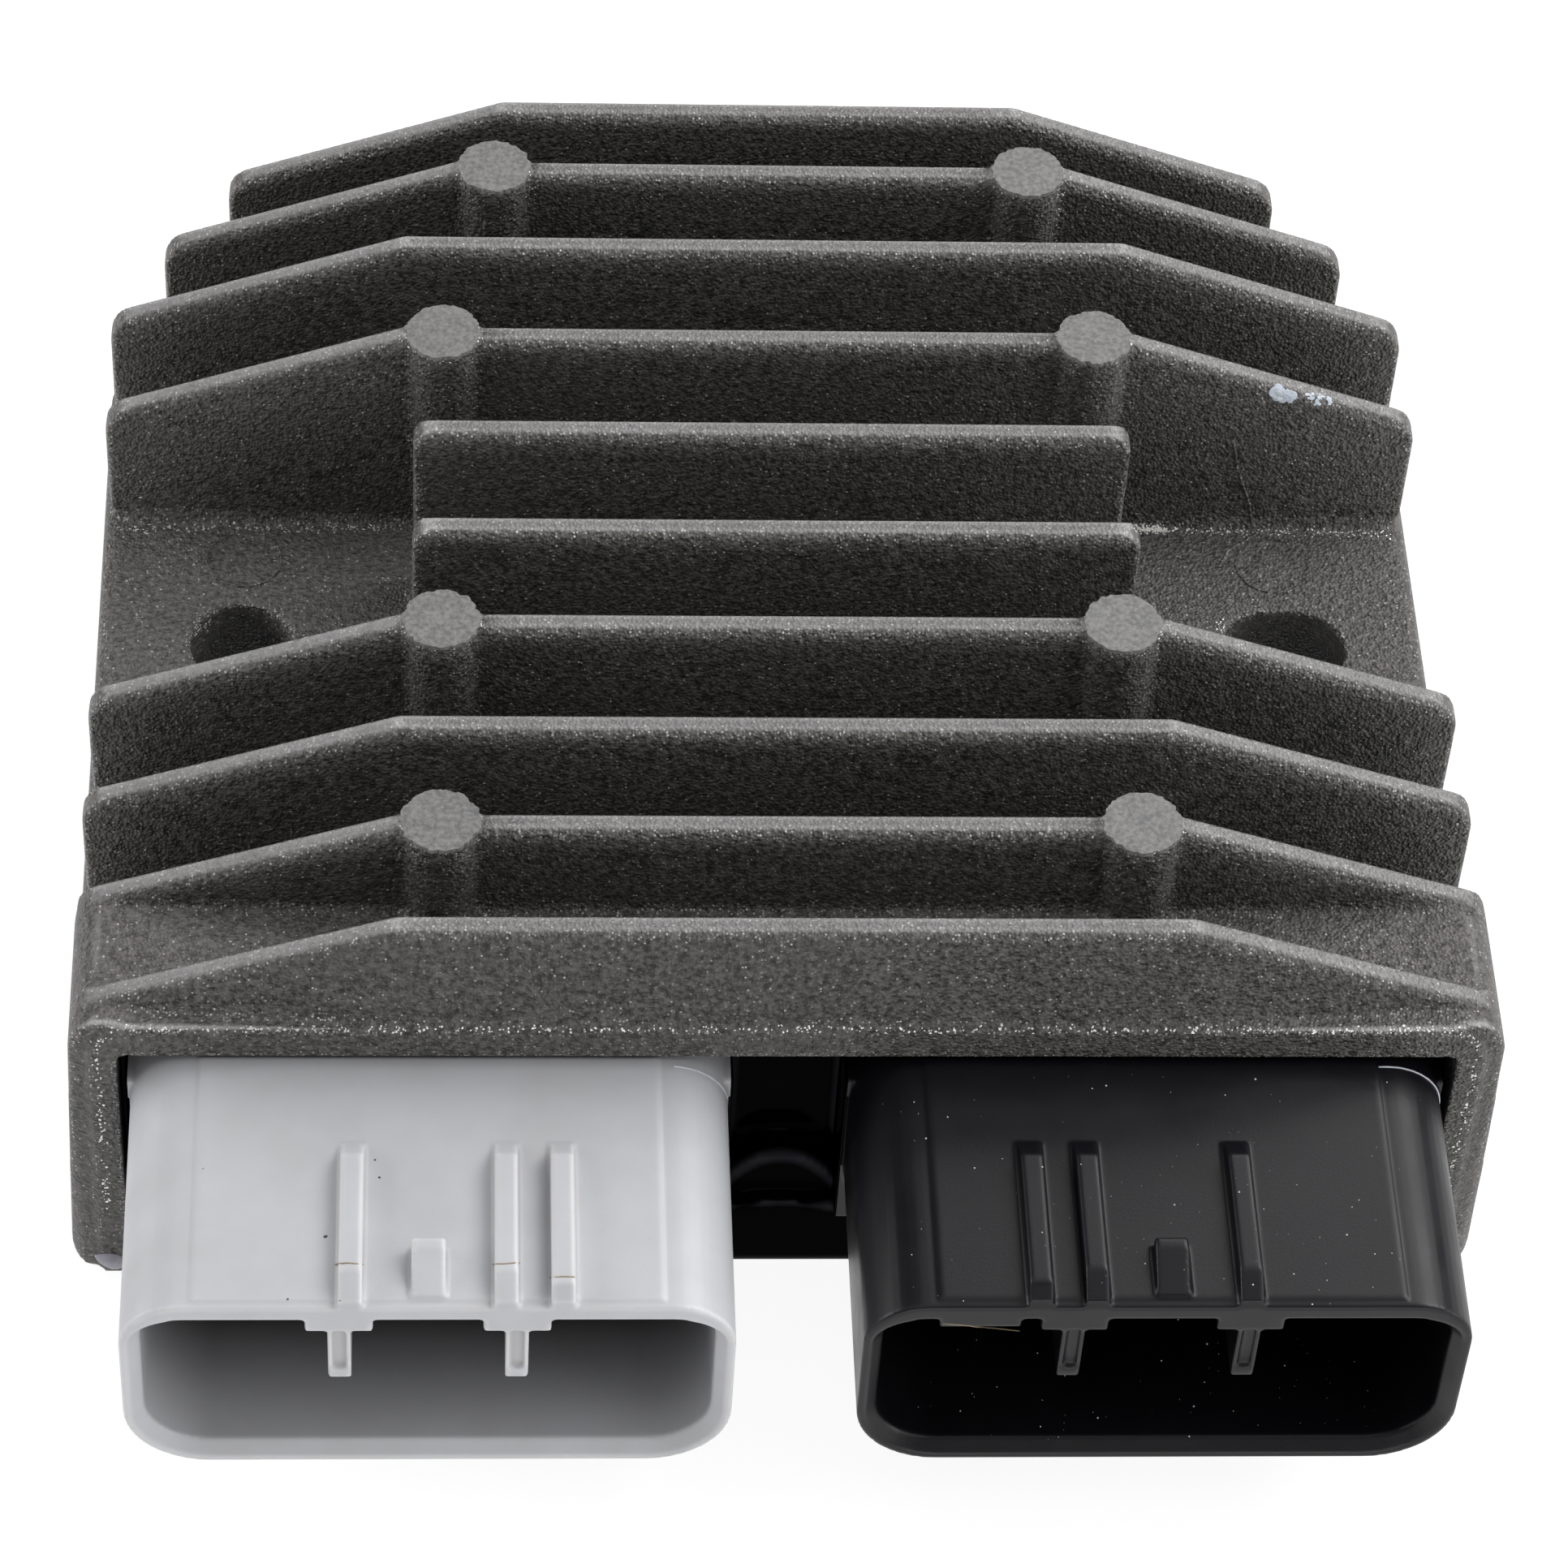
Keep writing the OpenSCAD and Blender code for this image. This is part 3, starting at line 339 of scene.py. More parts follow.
# %% [markdown]
# ## Resin, sealant and metal parts
# Potting resin is black epoxy poured in and left to level, so it is as smooth as glass with a few slow waves, and its
# rounded lips get a grey painted highlight. The sealant is a dab of pale silicone. Blades are tinned brass. The board,
# its packages and cans are hidden in the resin, but they get their real finishes too.

# %% Resin, sealant and electronics materials
resin, tree, surface, place = new_material("black_epoxy_potting_resin", "#010101", 0.09, ior=1.54)
surface.inputs["Specular IOR Level"].default_value = 0.006
# Painted highlight: where the resin's surface rounds over a lip, its colour turns grey, as a thin reflection line
# would.
lip = add_node(tree, "ShaderNodeAttribute", attribute_name="edge").outputs["Fac"]
lip_highlight_mask = add_node(tree, "ShaderNodeMapRange", {"Value": lip, "From Min": 0.1, "From Max": 0.45})
painted_lip_highlight = add_node(tree, "ShaderNodeMix",
                   {FACTOR: lip_highlight_mask.outputs[0], COLOUR_A: linear("#010101"), COLOUR_B: linear("#4a484f")},
                   data_type="RGBA")
tree.links.new(painted_lip_highlight.outputs[COLOUR_OUT], surface.inputs["Base Color"])
wave = add_node(tree, "ShaderNodeTexNoise", {"Vector": place, "Scale": pattern_scale(9), "Detail": 1.0})
speck = add_node(tree, "ShaderNodeTexNoise", {"Vector": place, "Scale": pattern_scale(0.5), "Detail": 2.0})
cast_skin = add_node(tree, "ShaderNodeMath", {0: speck.outputs["Fac"], 1: 0.03}, operation="MULTIPLY")
height = add_node(tree, "ShaderNodeMath", {0: wave.outputs["Fac"], 1: cast_skin.outputs[0]}, operation="ADD")
bump = add_node(tree, "ShaderNodeBump", {"Height": height.outputs[0], "Strength": 0.5, "Distance": 0.0003})
tree.links.new(bump.outputs[0], surface.inputs["Normal"])
gloss = add_node(tree, "ShaderNodeMapRange",
                 {"Value": wave.outputs["Fac"], "To Min": 0.07, "To Max": 0.14})
tree.links.new(gloss.outputs[0], surface.inputs["Roughness"])


def plain_finish(name, dark, pale, roughness, grain_mm, relief_mm, ior=1.5, metallic=0.0, sheer=0.0):
    """A finish of one colour that wanders between two tones, with a fine relief."""
    material, tree, surface, place = new_material(name, pale, roughness, ior, metallic)
    surface.inputs["Subsurface Weight"].default_value = sheer
    surface.inputs["Subsurface Scale"].default_value = 0.5 * MM
    grain = add_node(tree, "ShaderNodeTexNoise",
                     {"Vector": place, "Scale": pattern_scale(grain_mm), "Detail": 3.0})
    mixed = add_node(tree, "ShaderNodeMix",
                     {FACTOR: grain.outputs["Fac"], COLOUR_A: linear(dark), COLOUR_B: linear(pale)},
                     data_type="RGBA")
    tree.links.new(mixed.outputs[COLOUR_OUT], surface.inputs["Base Color"])
    bump = add_node(tree, "ShaderNodeBump",
                    {"Height": grain.outputs["Fac"], "Strength": 0.4, "Distance": relief_mm * MM})
    tree.links.new(bump.outputs[0], surface.inputs["Normal"])
    return material


pale_sealant_and_glint = plain_finish("pale_silicone_sealant_and_glint", "#b4b2bb", "#dcdbe2", 0.3, 1.2, 0.05, ior=1.41, sheer=0.3)
sealant = plain_finish("weathered_silicone_sealant", "#8f8d97", "#b3b1ba", 0.35, 0.8, 0.08, ior=1.41, sheer=0.2)
tinned_brass = plain_finish("tinned_brass", "#a9a59b", "#c9c6bf", 0.28, 0.6, 0.01, metallic=1.0)
laminate = plain_finish("fr4_laminate", "#1d4a2c", "#2b6540", 0.4, 0.8, 0.02, ior=1.55)
silicone_pad = plain_finish("filled_silicone_pad", "#7c8587", "#98a0a1", 0.7, 0.5, 0.03, ior=1.43)
moulding_compound = plain_finish("epoxy_moulding_compound", "#1d1d1e", "#2b2b2c", 0.6, 0.2, 0.02, ior=1.55)
can_metal = plain_finish("drawn_aluminium_can", "#b5b6b8", "#cfd0d2", 0.3, 1.0, 0.01, metallic=1.0)
print("materials so far:", len(bpy.data.materials))

# %% [markdown]
# ## Casting the edges round
# A CAD solid has razor edges, and no casting or moulding has. A voxel remesh lays an even net of
# small faces over a copy of the solid, a few rounds of smoothing let its edges melt, and Decimate
# takes out the faces that flat walls don't need. It works on any shape, where a bevel would trip
# over mitred fins. On the even net, Geometry Nodes measure how sharply the surface bends at each
# point. A blur spreads that, and it is stored as the attribute edge: above zero on crests, below
# zero in corners. The copy's doubles are merged first, because a CAD mesh is loose triangles.

# %% Measure the edges with Geometry Nodes
def geometry_tree(name, inputs):
    """A Geometry Nodes tree with a Geometry input and output and named inputs for its sizes."""
    tree = bpy.data.node_groups.new(name, "GeometryNodeTree")
    tree.interface.new_socket("Geometry", in_out="INPUT", socket_type="NodeSocketGeometry")
    tree.interface.new_socket("Geometry", in_out="OUTPUT", socket_type="NodeSocketGeometry")
    sockets = {label: tree.interface.new_socket(label, in_out="INPUT", socket_type=kind)
               for label, kind in inputs.items()}
    start = tree.nodes.new("NodeGroupInput")
    end = tree.nodes.new("NodeGroupOutput")
    return tree, start.outputs, end.inputs, {label: s.identifier for label, s in sockets.items()}


def add_geometry_nodes(obj, tree, identifiers, values):
    """Give obj the tree as a modifier, with each input set by its socket's identifier."""
    modifier = obj.modifiers.new(tree.name, "NODES")
    modifier.node_group = tree
    for label, value in values.items():
        modifier[identifiers[label]] = value
    return modifier


edge_tree, given, made, edge_ids = geometry_tree(
    "measure_edges", {"Blur Passes": "NodeSocketInt", "Finish": "NodeSocketMaterial"})
bend = add_node(edge_tree, "GeometryNodeInputMeshEdgeAngle")
spread = add_node(edge_tree, "GeometryNodeBlurAttribute",
                  {"Value": bend.outputs["Signed Angle"], "Iterations": given["Blur Passes"]})
stored = add_node(edge_tree, "GeometryNodeStoreNamedAttribute",
                  {"Geometry": given["Geometry"], "Name": "edge", "Value": spread.outputs[0]},
                  data_type="FLOAT", domain="POINT")
real = add_node(edge_tree, "GeometryNodeRealizeInstances", {"Geometry": stored.outputs[0]})
finished = add_node(edge_tree, "GeometryNodeSetMaterial", {"Geometry": real.outputs[0], "Material": given["Finish"]})
edge_tree.links.new(finished.outputs[0], made["Geometry"])
print("tree:", edge_tree.name, "inputs:", list(edge_ids))

# %% Soft copies of CAD nodes
# The sockets' outline in mm: place, half sizes, corner radii, wall, mouth, and where the rails begin.
SHELL_X, SHELL_MIDDLE_Z, SHELL_HALF_W, SHELL_HALF_H = 23.05, 14.4, 19.1, 8.3
SHELL_TOP_R, SHELL_BOTTOM_R, SHELL_T, MOUTH_Y, RAIL_Y = 4.0, 5.4, 1.3, -61.1, -43.0
HOLLOW_FADE, HOLLOW_CURVE = 10.3, 1.9


def plain_mesh(obj, name):
    """Turn what obj shows, modifiers included, into a plain mesh object of that name."""
    graph = bpy.context.evaluated_depsgraph_get()
    mesh = bpy.data.meshes.new_from_object(obj.evaluated_get(graph))
    result = bpy.data.objects.new(name, mesh)
    mesh.name = name
    scene.collection.objects.link(result)
    bpy.data.objects.remove(obj)
    return result


def inside(mesh, low, high):
    """Pull in each point that stands outside a box, so that no piece outgrows its CAD node."""
    points = np.empty(len(mesh.vertices) * 3)
    mesh.vertices.foreach_get("co", points)
    points = np.clip(points.reshape(-1, 3), np.array(low), np.array(high))
    mesh.vertices.foreach_set("co", points.ravel())
    mesh.update()


def outside_shell(x, z, side):
    """How far in mm places stand outside a socket's rounded outline, below zero inside it."""
    across, up_from_middle = abs(x - side * SHELL_X), z - SHELL_MIDDLE_Z
    corner = np.where(up_from_middle > 0, SHELL_TOP_R, SHELL_BOTTOM_R)
    qx, qz = across - (SHELL_HALF_W - corner), abs(up_from_middle) - (SHELL_HALF_H - corner)
    return np.hypot(np.maximum(qx, 0), np.maximum(qz, 0)) + np.minimum(np.maximum(qx, qz), 0) - corner


def point_places(mesh):
    """The x, y and z of all points of a mesh in mm."""
    points = np.empty(len(mesh.vertices) * 3)
    mesh.vertices.foreach_get("co", points)
    return points.reshape(-1, 3).T / MM


def mark_hollow(piece, side):
    """Store how deep each point of a socket lies behind its mouth, from 0 to 1, as hollow."""
    x, y, z = point_places(piece.data)
    depth = np.clip((y - MOUTH_Y - 0.6) / HOLLOW_FADE, 0, 1) ** HOLLOW_CURVE
    depth *= outside_shell(x, z, side) < -SHELL_T / 2
    piece.data.attributes.new("hollow", "FLOAT", "POINT").data.foreach_set("value", depth)
    print(piece.name, "points in the hollow:", int((depth > 0).sum()))


def blacken_rails(piece, side):
    """Give the rails beside a socket, behind the frame's face, the black resin finish and no edge paling, so they stay
    dark.
    """
    piece.data.materials.append(resin)
    x, y, z = point_places(piece.data)
    blackened = (abs(x - side * SHELL_X) > SHELL_HALF_W + 0.06) & (y > RAIL_Y)
    edge_values = np.empty(len(blackened))
    edges = piece.data.attributes["edge"].data
    edges.foreach_get("value", edge_values)
    edges.foreach_set("value", np.where(blackened, 0, edge_values))
    for face in piece.data.polygons:
        face.material_index = int(all(blackened[i] for i in face.vertices))
    print(piece.name, "faces under resin:", sum(f.material_index for f in piece.data.polygons))


def soft_copy(node, name, finish, voxel_mm, smoothing, blur, triangles, headroom_mm=0.0):
    """Copy a CAD node and let its edges melt as a die or mould leaves them."""
    work = bpy.data.objects.new(name + "_work", nodes[node].data.copy())
    work.data.materials.clear()
    scene.collection.objects.link(work)
    merged = bmesh.new()
    merged.from_mesh(work.data)
    bmesh.ops.remove_doubles(merged, verts=merged.verts, dist=0.001 * MM)
    merged.to_mesh(work.data)
    merged.free()
    net = work.modifiers.new("net", "REMESH")
    net.mode = "VOXEL"
    net.voxel_size = voxel_mm * MM
    melt = work.modifiers.new("melt", "SMOOTH")
    melt.factor = 0.5
    melt.iterations = smoothing
    add_geometry_nodes(work, edge_tree, edge_ids, {"Blur Passes": blur, "Finish": finish})
    even = plain_mesh(work, name + "_even")
    count = sum(len(p.vertices) - 2 for p in even.data.polygons)
    thin = even.modifiers.new("thin", "DECIMATE")
    thin.ratio = min(1, triangles / count)
    piece = plain_mesh(even, name)
    low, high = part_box(node)
    inside(piece.data, low, (high[0], high[1], high[2] - headroom_mm * MM))
    piece.data.shade_smooth()
    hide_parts(node)
    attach(piece, "root")
    print(name, "even net:", count, "triangles, kept:", len(piece.data.polygons))
    return piece


housing = soft_copy("heatsink_housing", "finned_housing", coating, 0.27, 2, 2, 190000, headroom_mm=0.06)
grey_shell = soft_copy("grey_socket", "grey_socket_shell", grey_pbt, 0.16, 2, 2, 110000)
black_shell = soft_copy("black_socket", "black_socket_shell", black_pbt, 0.16, 2, 2, 110000)
mark_hollow(grey_shell, -1)
mark_hollow(black_shell, 1)
blacken_rails(grey_shell, -1)
blacken_rails(black_shell, 1)
poured = soft_copy("potting_resin", "poured_resin", resin, 0.5, 3, 2, 60000)
bead = soft_copy("sealant_bead", "silicone_bead", sealant, 0.08, 6, 1, 6000)

# %% Flatten the dab of sealant to a wedge
low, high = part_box("sealant_bead")
for vertex in bead.data.vertices:
    along = (vertex.co.x - low.x) / (high.x - low.x)
    vertex.co.z = high.z - (high.z - vertex.co.z) * (0.25 + 0.75 * along)
print("sealant box in mm:", [round(v / MM, 2) for v in (*low, *high)])

# %% [markdown]
# ## Ejector flats
# Where a pin met the die there was a hair of a gap, and metal ran into it. So each post ends in a
# flat disc whose rim is ragged and stands a little proud. The eight discs repeat, so Geometry
# Nodes set one disc on each post top, then push its rim in and out by a noise that differs from
# place to place. The tops are found in the CAD mesh: they are its highest points.

# %% Where the posts end
post_tops = []
top_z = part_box("heatsink_housing")[1][2]
for vertex in nodes["heatsink_housing"].data.vertices:
    if vertex.co.z > top_z - 0.01 * MM:
        near = [group for group in post_tops if (group[0] - vertex.co).length < 6 * MM]
        if near:
            near[0].append(vertex.co.copy())
        else:
            post_tops.append([vertex.co.copy()])
middles = [Vector([(min(c[i] for c in group) + max(c[i] for c in group)) / 2 for i in range(3)])
           for group in post_tops]
POST_RADIUS = 2.5 * MM
print("post tops:", [(round(m.x / MM, 1), round(m.y / MM, 1)) for m in middles])


def point_object(name, places, **attributes):
    """A mesh of loose points, with a vector or number attribute for each keyword."""
    mesh = bpy.data.meshes.new(name)
    mesh.from_pydata([tuple(p) for p in places], [], [])
    for label, values in attributes.items():
        flat = np.array(values, dtype=float)
        kind, field = ("FLOAT_VECTOR", "vector") if flat.ndim == 2 else ("FLOAT", "value")
        mesh.attributes.new(label, kind, "POINT").data.foreach_set(field, flat.ravel())
    obj = bpy.data.objects.new(name, mesh)
    scene.collection.objects.link(obj)
    return obj


# %% Discs with ragged rims
disc_tree, given, made, disc_ids = geometry_tree(
    "ragged_discs", {"Radius": "NodeSocketFloat", "Thickness": "NodeSocketFloat",
                     "Raggedness": "NodeSocketFloat", "Finish": "NodeSocketMaterial"})
disc = add_node(disc_tree, "GeometryNodeMeshCylinder",
                {"Vertices": 96, "Radius": given["Radius"], "Depth": given["Thickness"]}, fill_type="NGON")
spot_here = add_node(disc_tree, "GeometryNodeInputPosition").outputs[0]
outward = add_node(disc_tree, "ShaderNodeVectorMath", {0: spot_here, 1: (1, 1, 0)}, operation="MULTIPLY")
unit = add_node(disc_tree, "ShaderNodeVectorMath", {0: outward.outputs[0]}, operation="NORMALIZE")
kept = add_node(disc_tree, "GeometryNodeStoreNamedAttribute",
                {"Geometry": disc.outputs["Mesh"], "Name": "outward", "Value": unit.outputs[0]},
                data_type="FLOAT_VECTOR", domain="POINT")
placed = add_node(disc_tree, "GeometryNodeInstanceOnPoints",
                  {"Points": given["Geometry"], "Instance": kept.outputs[0]})
real = add_node(disc_tree, "GeometryNodeRealizeInstances", {"Geometry": placed.outputs[0]})
flat = add_node(disc_tree, "ShaderNodeVectorMath", {0: spot_here, 1: (1, 1, 0)}, operation="MULTIPLY")
wander = add_node(disc_tree, "ShaderNodeTexNoise",
                  {"Vector": flat.outputs[0], "Scale": pattern_scale(0.7), "Detail": 3.0, "Roughness": 0.7})
centred = add_node(disc_tree, "ShaderNodeMath", {0: wander.outputs[0], 1: 0.5}, operation="SUBTRACT")
reach = add_node(disc_tree, "ShaderNodeMath",
                 {0: centred.outputs[0], 1: given["Raggedness"]}, operation="MULTIPLY")
way = add_node(disc_tree, "GeometryNodeInputNamedAttribute", {"Name": "outward"}, data_type="FLOAT_VECTOR")
push = add_node(disc_tree, "ShaderNodeVectorMath",
                {0: way.outputs[0], "Scale": reach.outputs[0]}, operation="SCALE")
ragged = add_node(disc_tree, "GeometryNodeSetPosition", {"Geometry": real.outputs[0], "Offset": push.outputs[0]})
finished = add_node(disc_tree, "GeometryNodeSetMaterial",
                    {"Geometry": ragged.outputs[0], "Material": given["Finish"]})
disc_tree.links.new(finished.outputs[0], made["Geometry"])


def ride_along(piece):
    """Keep a finished piece inside the CAD box, hang it on the body root, and print its triangles."""
    inside(piece.data, cad_low, cad_high)
    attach(piece, "root")
    print(piece.name, "triangles:", sum(len(p.vertices) - 2 for p in piece.data.polygons))


DISC_THICKNESS = 0.3 * MM
tops = point_object("post_points", [Vector((m.x, m.y, top_z - DISC_THICKNESS / 2)) for m in middles])
add_geometry_nodes(tops, disc_tree, disc_ids,
                   {"Radius": POST_RADIUS + 0.05 * MM, "Thickness": DISC_THICKNESS,
                    "Raggedness": 0.9 * MM, "Finish": pin_mark_and_sheen})
ride_along(plain_mesh(tops, "ejector_flats"))

# %% [markdown]
# ## Finding a place on the surface
# Small marks are placed as a photographer would point at them: a line of sight runs from the
# camera through a point of the picture, and where it meets the finished piece, the mark goes.

# %% Lines of sight
def sight_tree(obj):
    """A search tree of a plain mesh, for lines of sight."""
    mesh = obj.data
    return BVHTree.FromPolygons([v.co for v in mesh.vertices], [tuple(p.vertices) for p in mesh.polygons])


def seen_at(search, px, py):
    """Where the line of sight through a picture point meets the piece, and how it faces there."""
    aim = (forward + right * ((px - IMAGE_SIDE / 2) / FOCAL_PIXELS)
           + up * ((IMAGE_SIDE / 2 - py) / FOCAL_PIXELS)).normalized()
    return search.ray_cast(CAMERA_PLACE, aim)[:2]


on_housing = sight_tree(housing)
on_grey = sight_tree(grey_shell)
on_black = sight_tree(black_shell)
print("left hole's rim is seen at", seen_at(on_housing, 258, 765)[0])

# %% [markdown]
# ## Chips, dust and soot
# A chip or speck is a flattened crumb that lies on the surface. There are a few hundred, so
# Geometry Nodes put one on each point, lay it flat along the attribute facing, turn it at random
# and scale it by the attribute size.

# %% Crumbs on points
crumb_tree, given, made, crumb_ids = geometry_tree(
    "crumbs", {"Flatness": "NodeSocketFloat", "Seed": "NodeSocketInt", "Finish": "NodeSocketMaterial"})
ball = add_node(crumb_tree, "GeometryNodeMeshIcoSphere", {"Radius": 1.0, "Subdivisions": 2})
lay = add_node(crumb_tree, "GeometryNodeInputNamedAttribute", {"Name": "facing"}, data_type="FLOAT_VECTOR")
big = add_node(crumb_tree, "GeometryNodeInputNamedAttribute", {"Name": "size"}, data_type="FLOAT")
spin = add_node(crumb_tree, "FunctionNodeRandomValue",
                {0: (0, 0, 0), 1: (0, 0, 6.28), "Seed": given["Seed"]}, data_type="FLOAT_VECTOR")
laid = add_node(crumb_tree, "FunctionNodeAlignRotationToVector", {"Vector": lay.outputs[0]}, axis="Z")
turned = add_node(crumb_tree, "FunctionNodeRotateRotation",
                  {"Rotation": laid.outputs[0], "Rotate By": spin.outputs[0]}, rotation_space="LOCAL")
stretch = add_node(crumb_tree, "FunctionNodeRandomValue",
                   {0: (0.6, 0.6, 0.8), 1: (1.4, 1.2, 1.2), "Seed": given["Seed"]}, data_type="FLOAT_VECTOR")
squash = add_node(crumb_tree, "ShaderNodeCombineXYZ", {0: 1.0, 1: 1.0, 2: given["Flatness"]})
shape = add_node(crumb_tree, "ShaderNodeVectorMath",
                 {0: stretch.outputs[0], 1: squash.outputs[0]}, operation="MULTIPLY")
size = add_node(crumb_tree, "ShaderNodeVectorMath",
                {0: shape.outputs[0], "Scale": big.outputs[0]}, operation="SCALE")
strewn = add_node(crumb_tree, "GeometryNodeInstanceOnPoints",
                  {"Points": given["Geometry"], "Instance": ball.outputs["Mesh"],
                   "Rotation": turned.outputs[0], "Scale": size.outputs[0]})
real = add_node(crumb_tree, "GeometryNodeRealizeInstances", {"Geometry": strewn.outputs[0]})
finished = add_node(crumb_tree, "GeometryNodeSetMaterial", {"Geometry": real.outputs[0], "Material": given["Finish"]})
crumb_tree.links.new(finished.outputs[0], made["Geometry"])


def strew(name, groups, finish, flatness, seed):
    """Crumbs round picture points: (search tree, x, y, spread in pixels, count, size in mm)."""
    chance = np.random.default_rng(seed)
    places, facings, sizes = [], [], []
    for search, px, py, spread, count, size_mm in groups:
        for _ in range(count):
            off = chance.normal(0, 0.5, 2) * spread
            place, facing = seen_at(search, px + off[0], py + off[1])
            if place is not None:
                places.append(place)
                facings.append(tuple(facing))
                sizes.append(size_mm * MM * chance.uniform(0.6, 1.3))
    points = point_object(name + "_points", places, facing=facings, size=sizes)
    add_geometry_nodes(points, crumb_tree, crumb_ids, {"Flatness": flatness, "Seed": seed, "Finish": finish})
    ride_along(plain_mesh(points, name))


# %% Chips in the coat
def picture_point(place):
    """The picture point in which the camera sees a place."""
    away = place - CAMERA_PLACE
    depth = away.dot(forward)
    return (IMAGE_SIDE / 2 + FOCAL_PIXELS * away.dot(right) / depth,
            IMAGE_SIDE / 2 - FOCAL_PIXELS * away.dot(up) / depth)


rim_chips = []
for middle in middles:
    for k in range(24):
        angle = math.radians(185 + 170 * k / 23)
        rim = Vector((middle.x + POST_RADIUS * math.cos(angle), middle.y + POST_RADIUS * math.sin(angle), top_z))
        px, py = picture_point(rim)
        rim_chips.append((on_housing, px, py + 2, 5, 1, 0.06))
strew("bare_metal_chips", rim_chips + [
    (on_housing, 250, 772, 14, 16, 0.09), (on_housing, 241, 780, 6, 8, 0.09),
    (on_housing, 335, 762, 16, 14, 0.05), (on_housing, 350, 778, 10, 8, 0.05),
    (on_housing, 1506, 768, 8, 12, 0.08), (on_housing, 1550, 758, 26, 14, 0.05),
    (on_housing, 1308, 240, 6, 10, 0.08), (on_housing, 1307, 262, 7, 10, 0.08),
    (on_housing, 173, 613, 2, 3, 0.07), (on_housing, 308, 1267, 3, 5, 0.07),
    (on_housing, 400, 1254, 7, 6, 0.05), (on_housing, 243, 1288, 1, 2, 0.05),
    (on_housing, 598, 1127, 2, 4, 0.06), (on_housing, 652, 232, 3, 4, 0.05),
    (on_housing, 130, 1457, 6, 8, 0.07), (on_housing, 285, 216, 3, 3, 0.04),
], bare_metal, 0.5, 3)
strew("sealant_smears", [
    (on_housing, 1578, 482, 8, 22, 0.28), (on_housing, 1590, 488, 6, 14, 0.25),
    (on_housing, 1612, 489, 6, 12, 0.11), (on_housing, 1626, 492, 7, 14, 0.11), (on_housing, 1638, 494, 4, 8, 0.14),
], pale_sealant_and_glint, 0.1, 5)
strew("soot_specks", [
    (on_grey, 462, 1429, 1, 1, 0.07), (on_grey, 468, 1451, 1, 1, 0.07), (on_grey, 401, 1523, 1, 2, 0.09),
    (on_grey, 354, 1602, 2, 2, 0.05), (on_grey, 420, 1604, 2, 2, 0.05), (on_grey, 250, 1440, 2, 1, 0.05),
], soot, 0.4, 7)

# %% Dust that has settled on the dark socket
settle_tree, given, made, settle_ids = geometry_tree(
    "settled_dust", {"Density": "NodeSocketFloat", "Largest": "NodeSocketFloat", "Behind": "NodeSocketFloat",
                     "Seed": "NodeSocketInt", "Finish": "NodeSocketMaterial"})
tilt = add_node(settle_tree, "ShaderNodeSeparateXYZ", {0: add_node(settle_tree, "GeometryNodeInputNormal").outputs[0]})
level = add_node(settle_tree, "ShaderNodeMath", {0: tilt.outputs["Z"], 1: 0.85}, operation="GREATER_THAN")
where = add_node(settle_tree, "ShaderNodeSeparateXYZ", {0: add_node(settle_tree, "GeometryNodeInputPosition").outputs[0]})
open_air = add_node(settle_tree, "ShaderNodeMath", {0: where.outputs["Y"], 1: given["Behind"]}, operation="LESS_THAN")
lies = add_node(settle_tree, "ShaderNodeMath", {0: level.outputs[0], 1: open_air.outputs[0]}, operation="MULTIPLY")
fallen = add_node(settle_tree, "GeometryNodeDistributePointsOnFaces",
                  {"Mesh": given["Geometry"], "Selection": lies.outputs[0], "Density": given["Density"],
                   "Seed": given["Seed"]})
draw = add_node(settle_tree, "FunctionNodeRandomValue", {2: 0.0, 3: 1.0, "Seed": given["Seed"]}, data_type="FLOAT")
skew = add_node(settle_tree, "ShaderNodeMath", {0: draw.outputs[1], 1: 4.0}, operation="POWER")
grow = add_node(settle_tree, "ShaderNodeMapRange", {"Value": skew.outputs[0], "To Min": 0.25, "To Max": 1.0})
scale = add_node(settle_tree, "ShaderNodeMath", {0: grow.outputs[0], 1: given["Largest"]}, operation="MULTIPLY")
mote = add_node(settle_tree, "GeometryNodeMeshIcoSphere", {"Radius": 1.0, "Subdivisions": 1})
strewn = add_node(settle_tree, "GeometryNodeInstanceOnPoints",
                  {"Points": fallen.outputs["Points"], "Instance": mote.outputs["Mesh"],
                   "Rotation": fallen.outputs["Rotation"], "Scale": scale.outputs[0]})
real = add_node(settle_tree, "GeometryNodeRealizeInstances", {"Geometry": strewn.outputs[0]})
finished = add_node(settle_tree, "GeometryNodeSetMaterial", {"Geometry": real.outputs[0], "Material": given["Finish"]})
settle_tree.links.new(finished.outputs[0], made["Geometry"])

dusty = bpy.data.objects.new("dust_source", black_shell.data.copy())
scene.collection.objects.link(dusty)
add_geometry_nodes(dusty, settle_tree, settle_ids,
                   {"Density": 180000.0, "Largest": 0.075 * MM, "Behind": -42.5 * MM, "Seed": 11, "Finish": dust})
ride_along(plain_mesh(dusty, "settled_dust"))

# %% [markdown]
# ## Veins, seams and painted glint threads
# The die was cracked a little, and each crack left a hair-thin vein on the casting. The moulds left brown residue where
# their parts met. A pale thread at a corner of each socket is a painted highlight, a glint laid on as a thin pale bead.
# All of these are thin beads along a line, so one tree lays them: it takes a line of points, wanders it a little and
# runs a small round section along it.

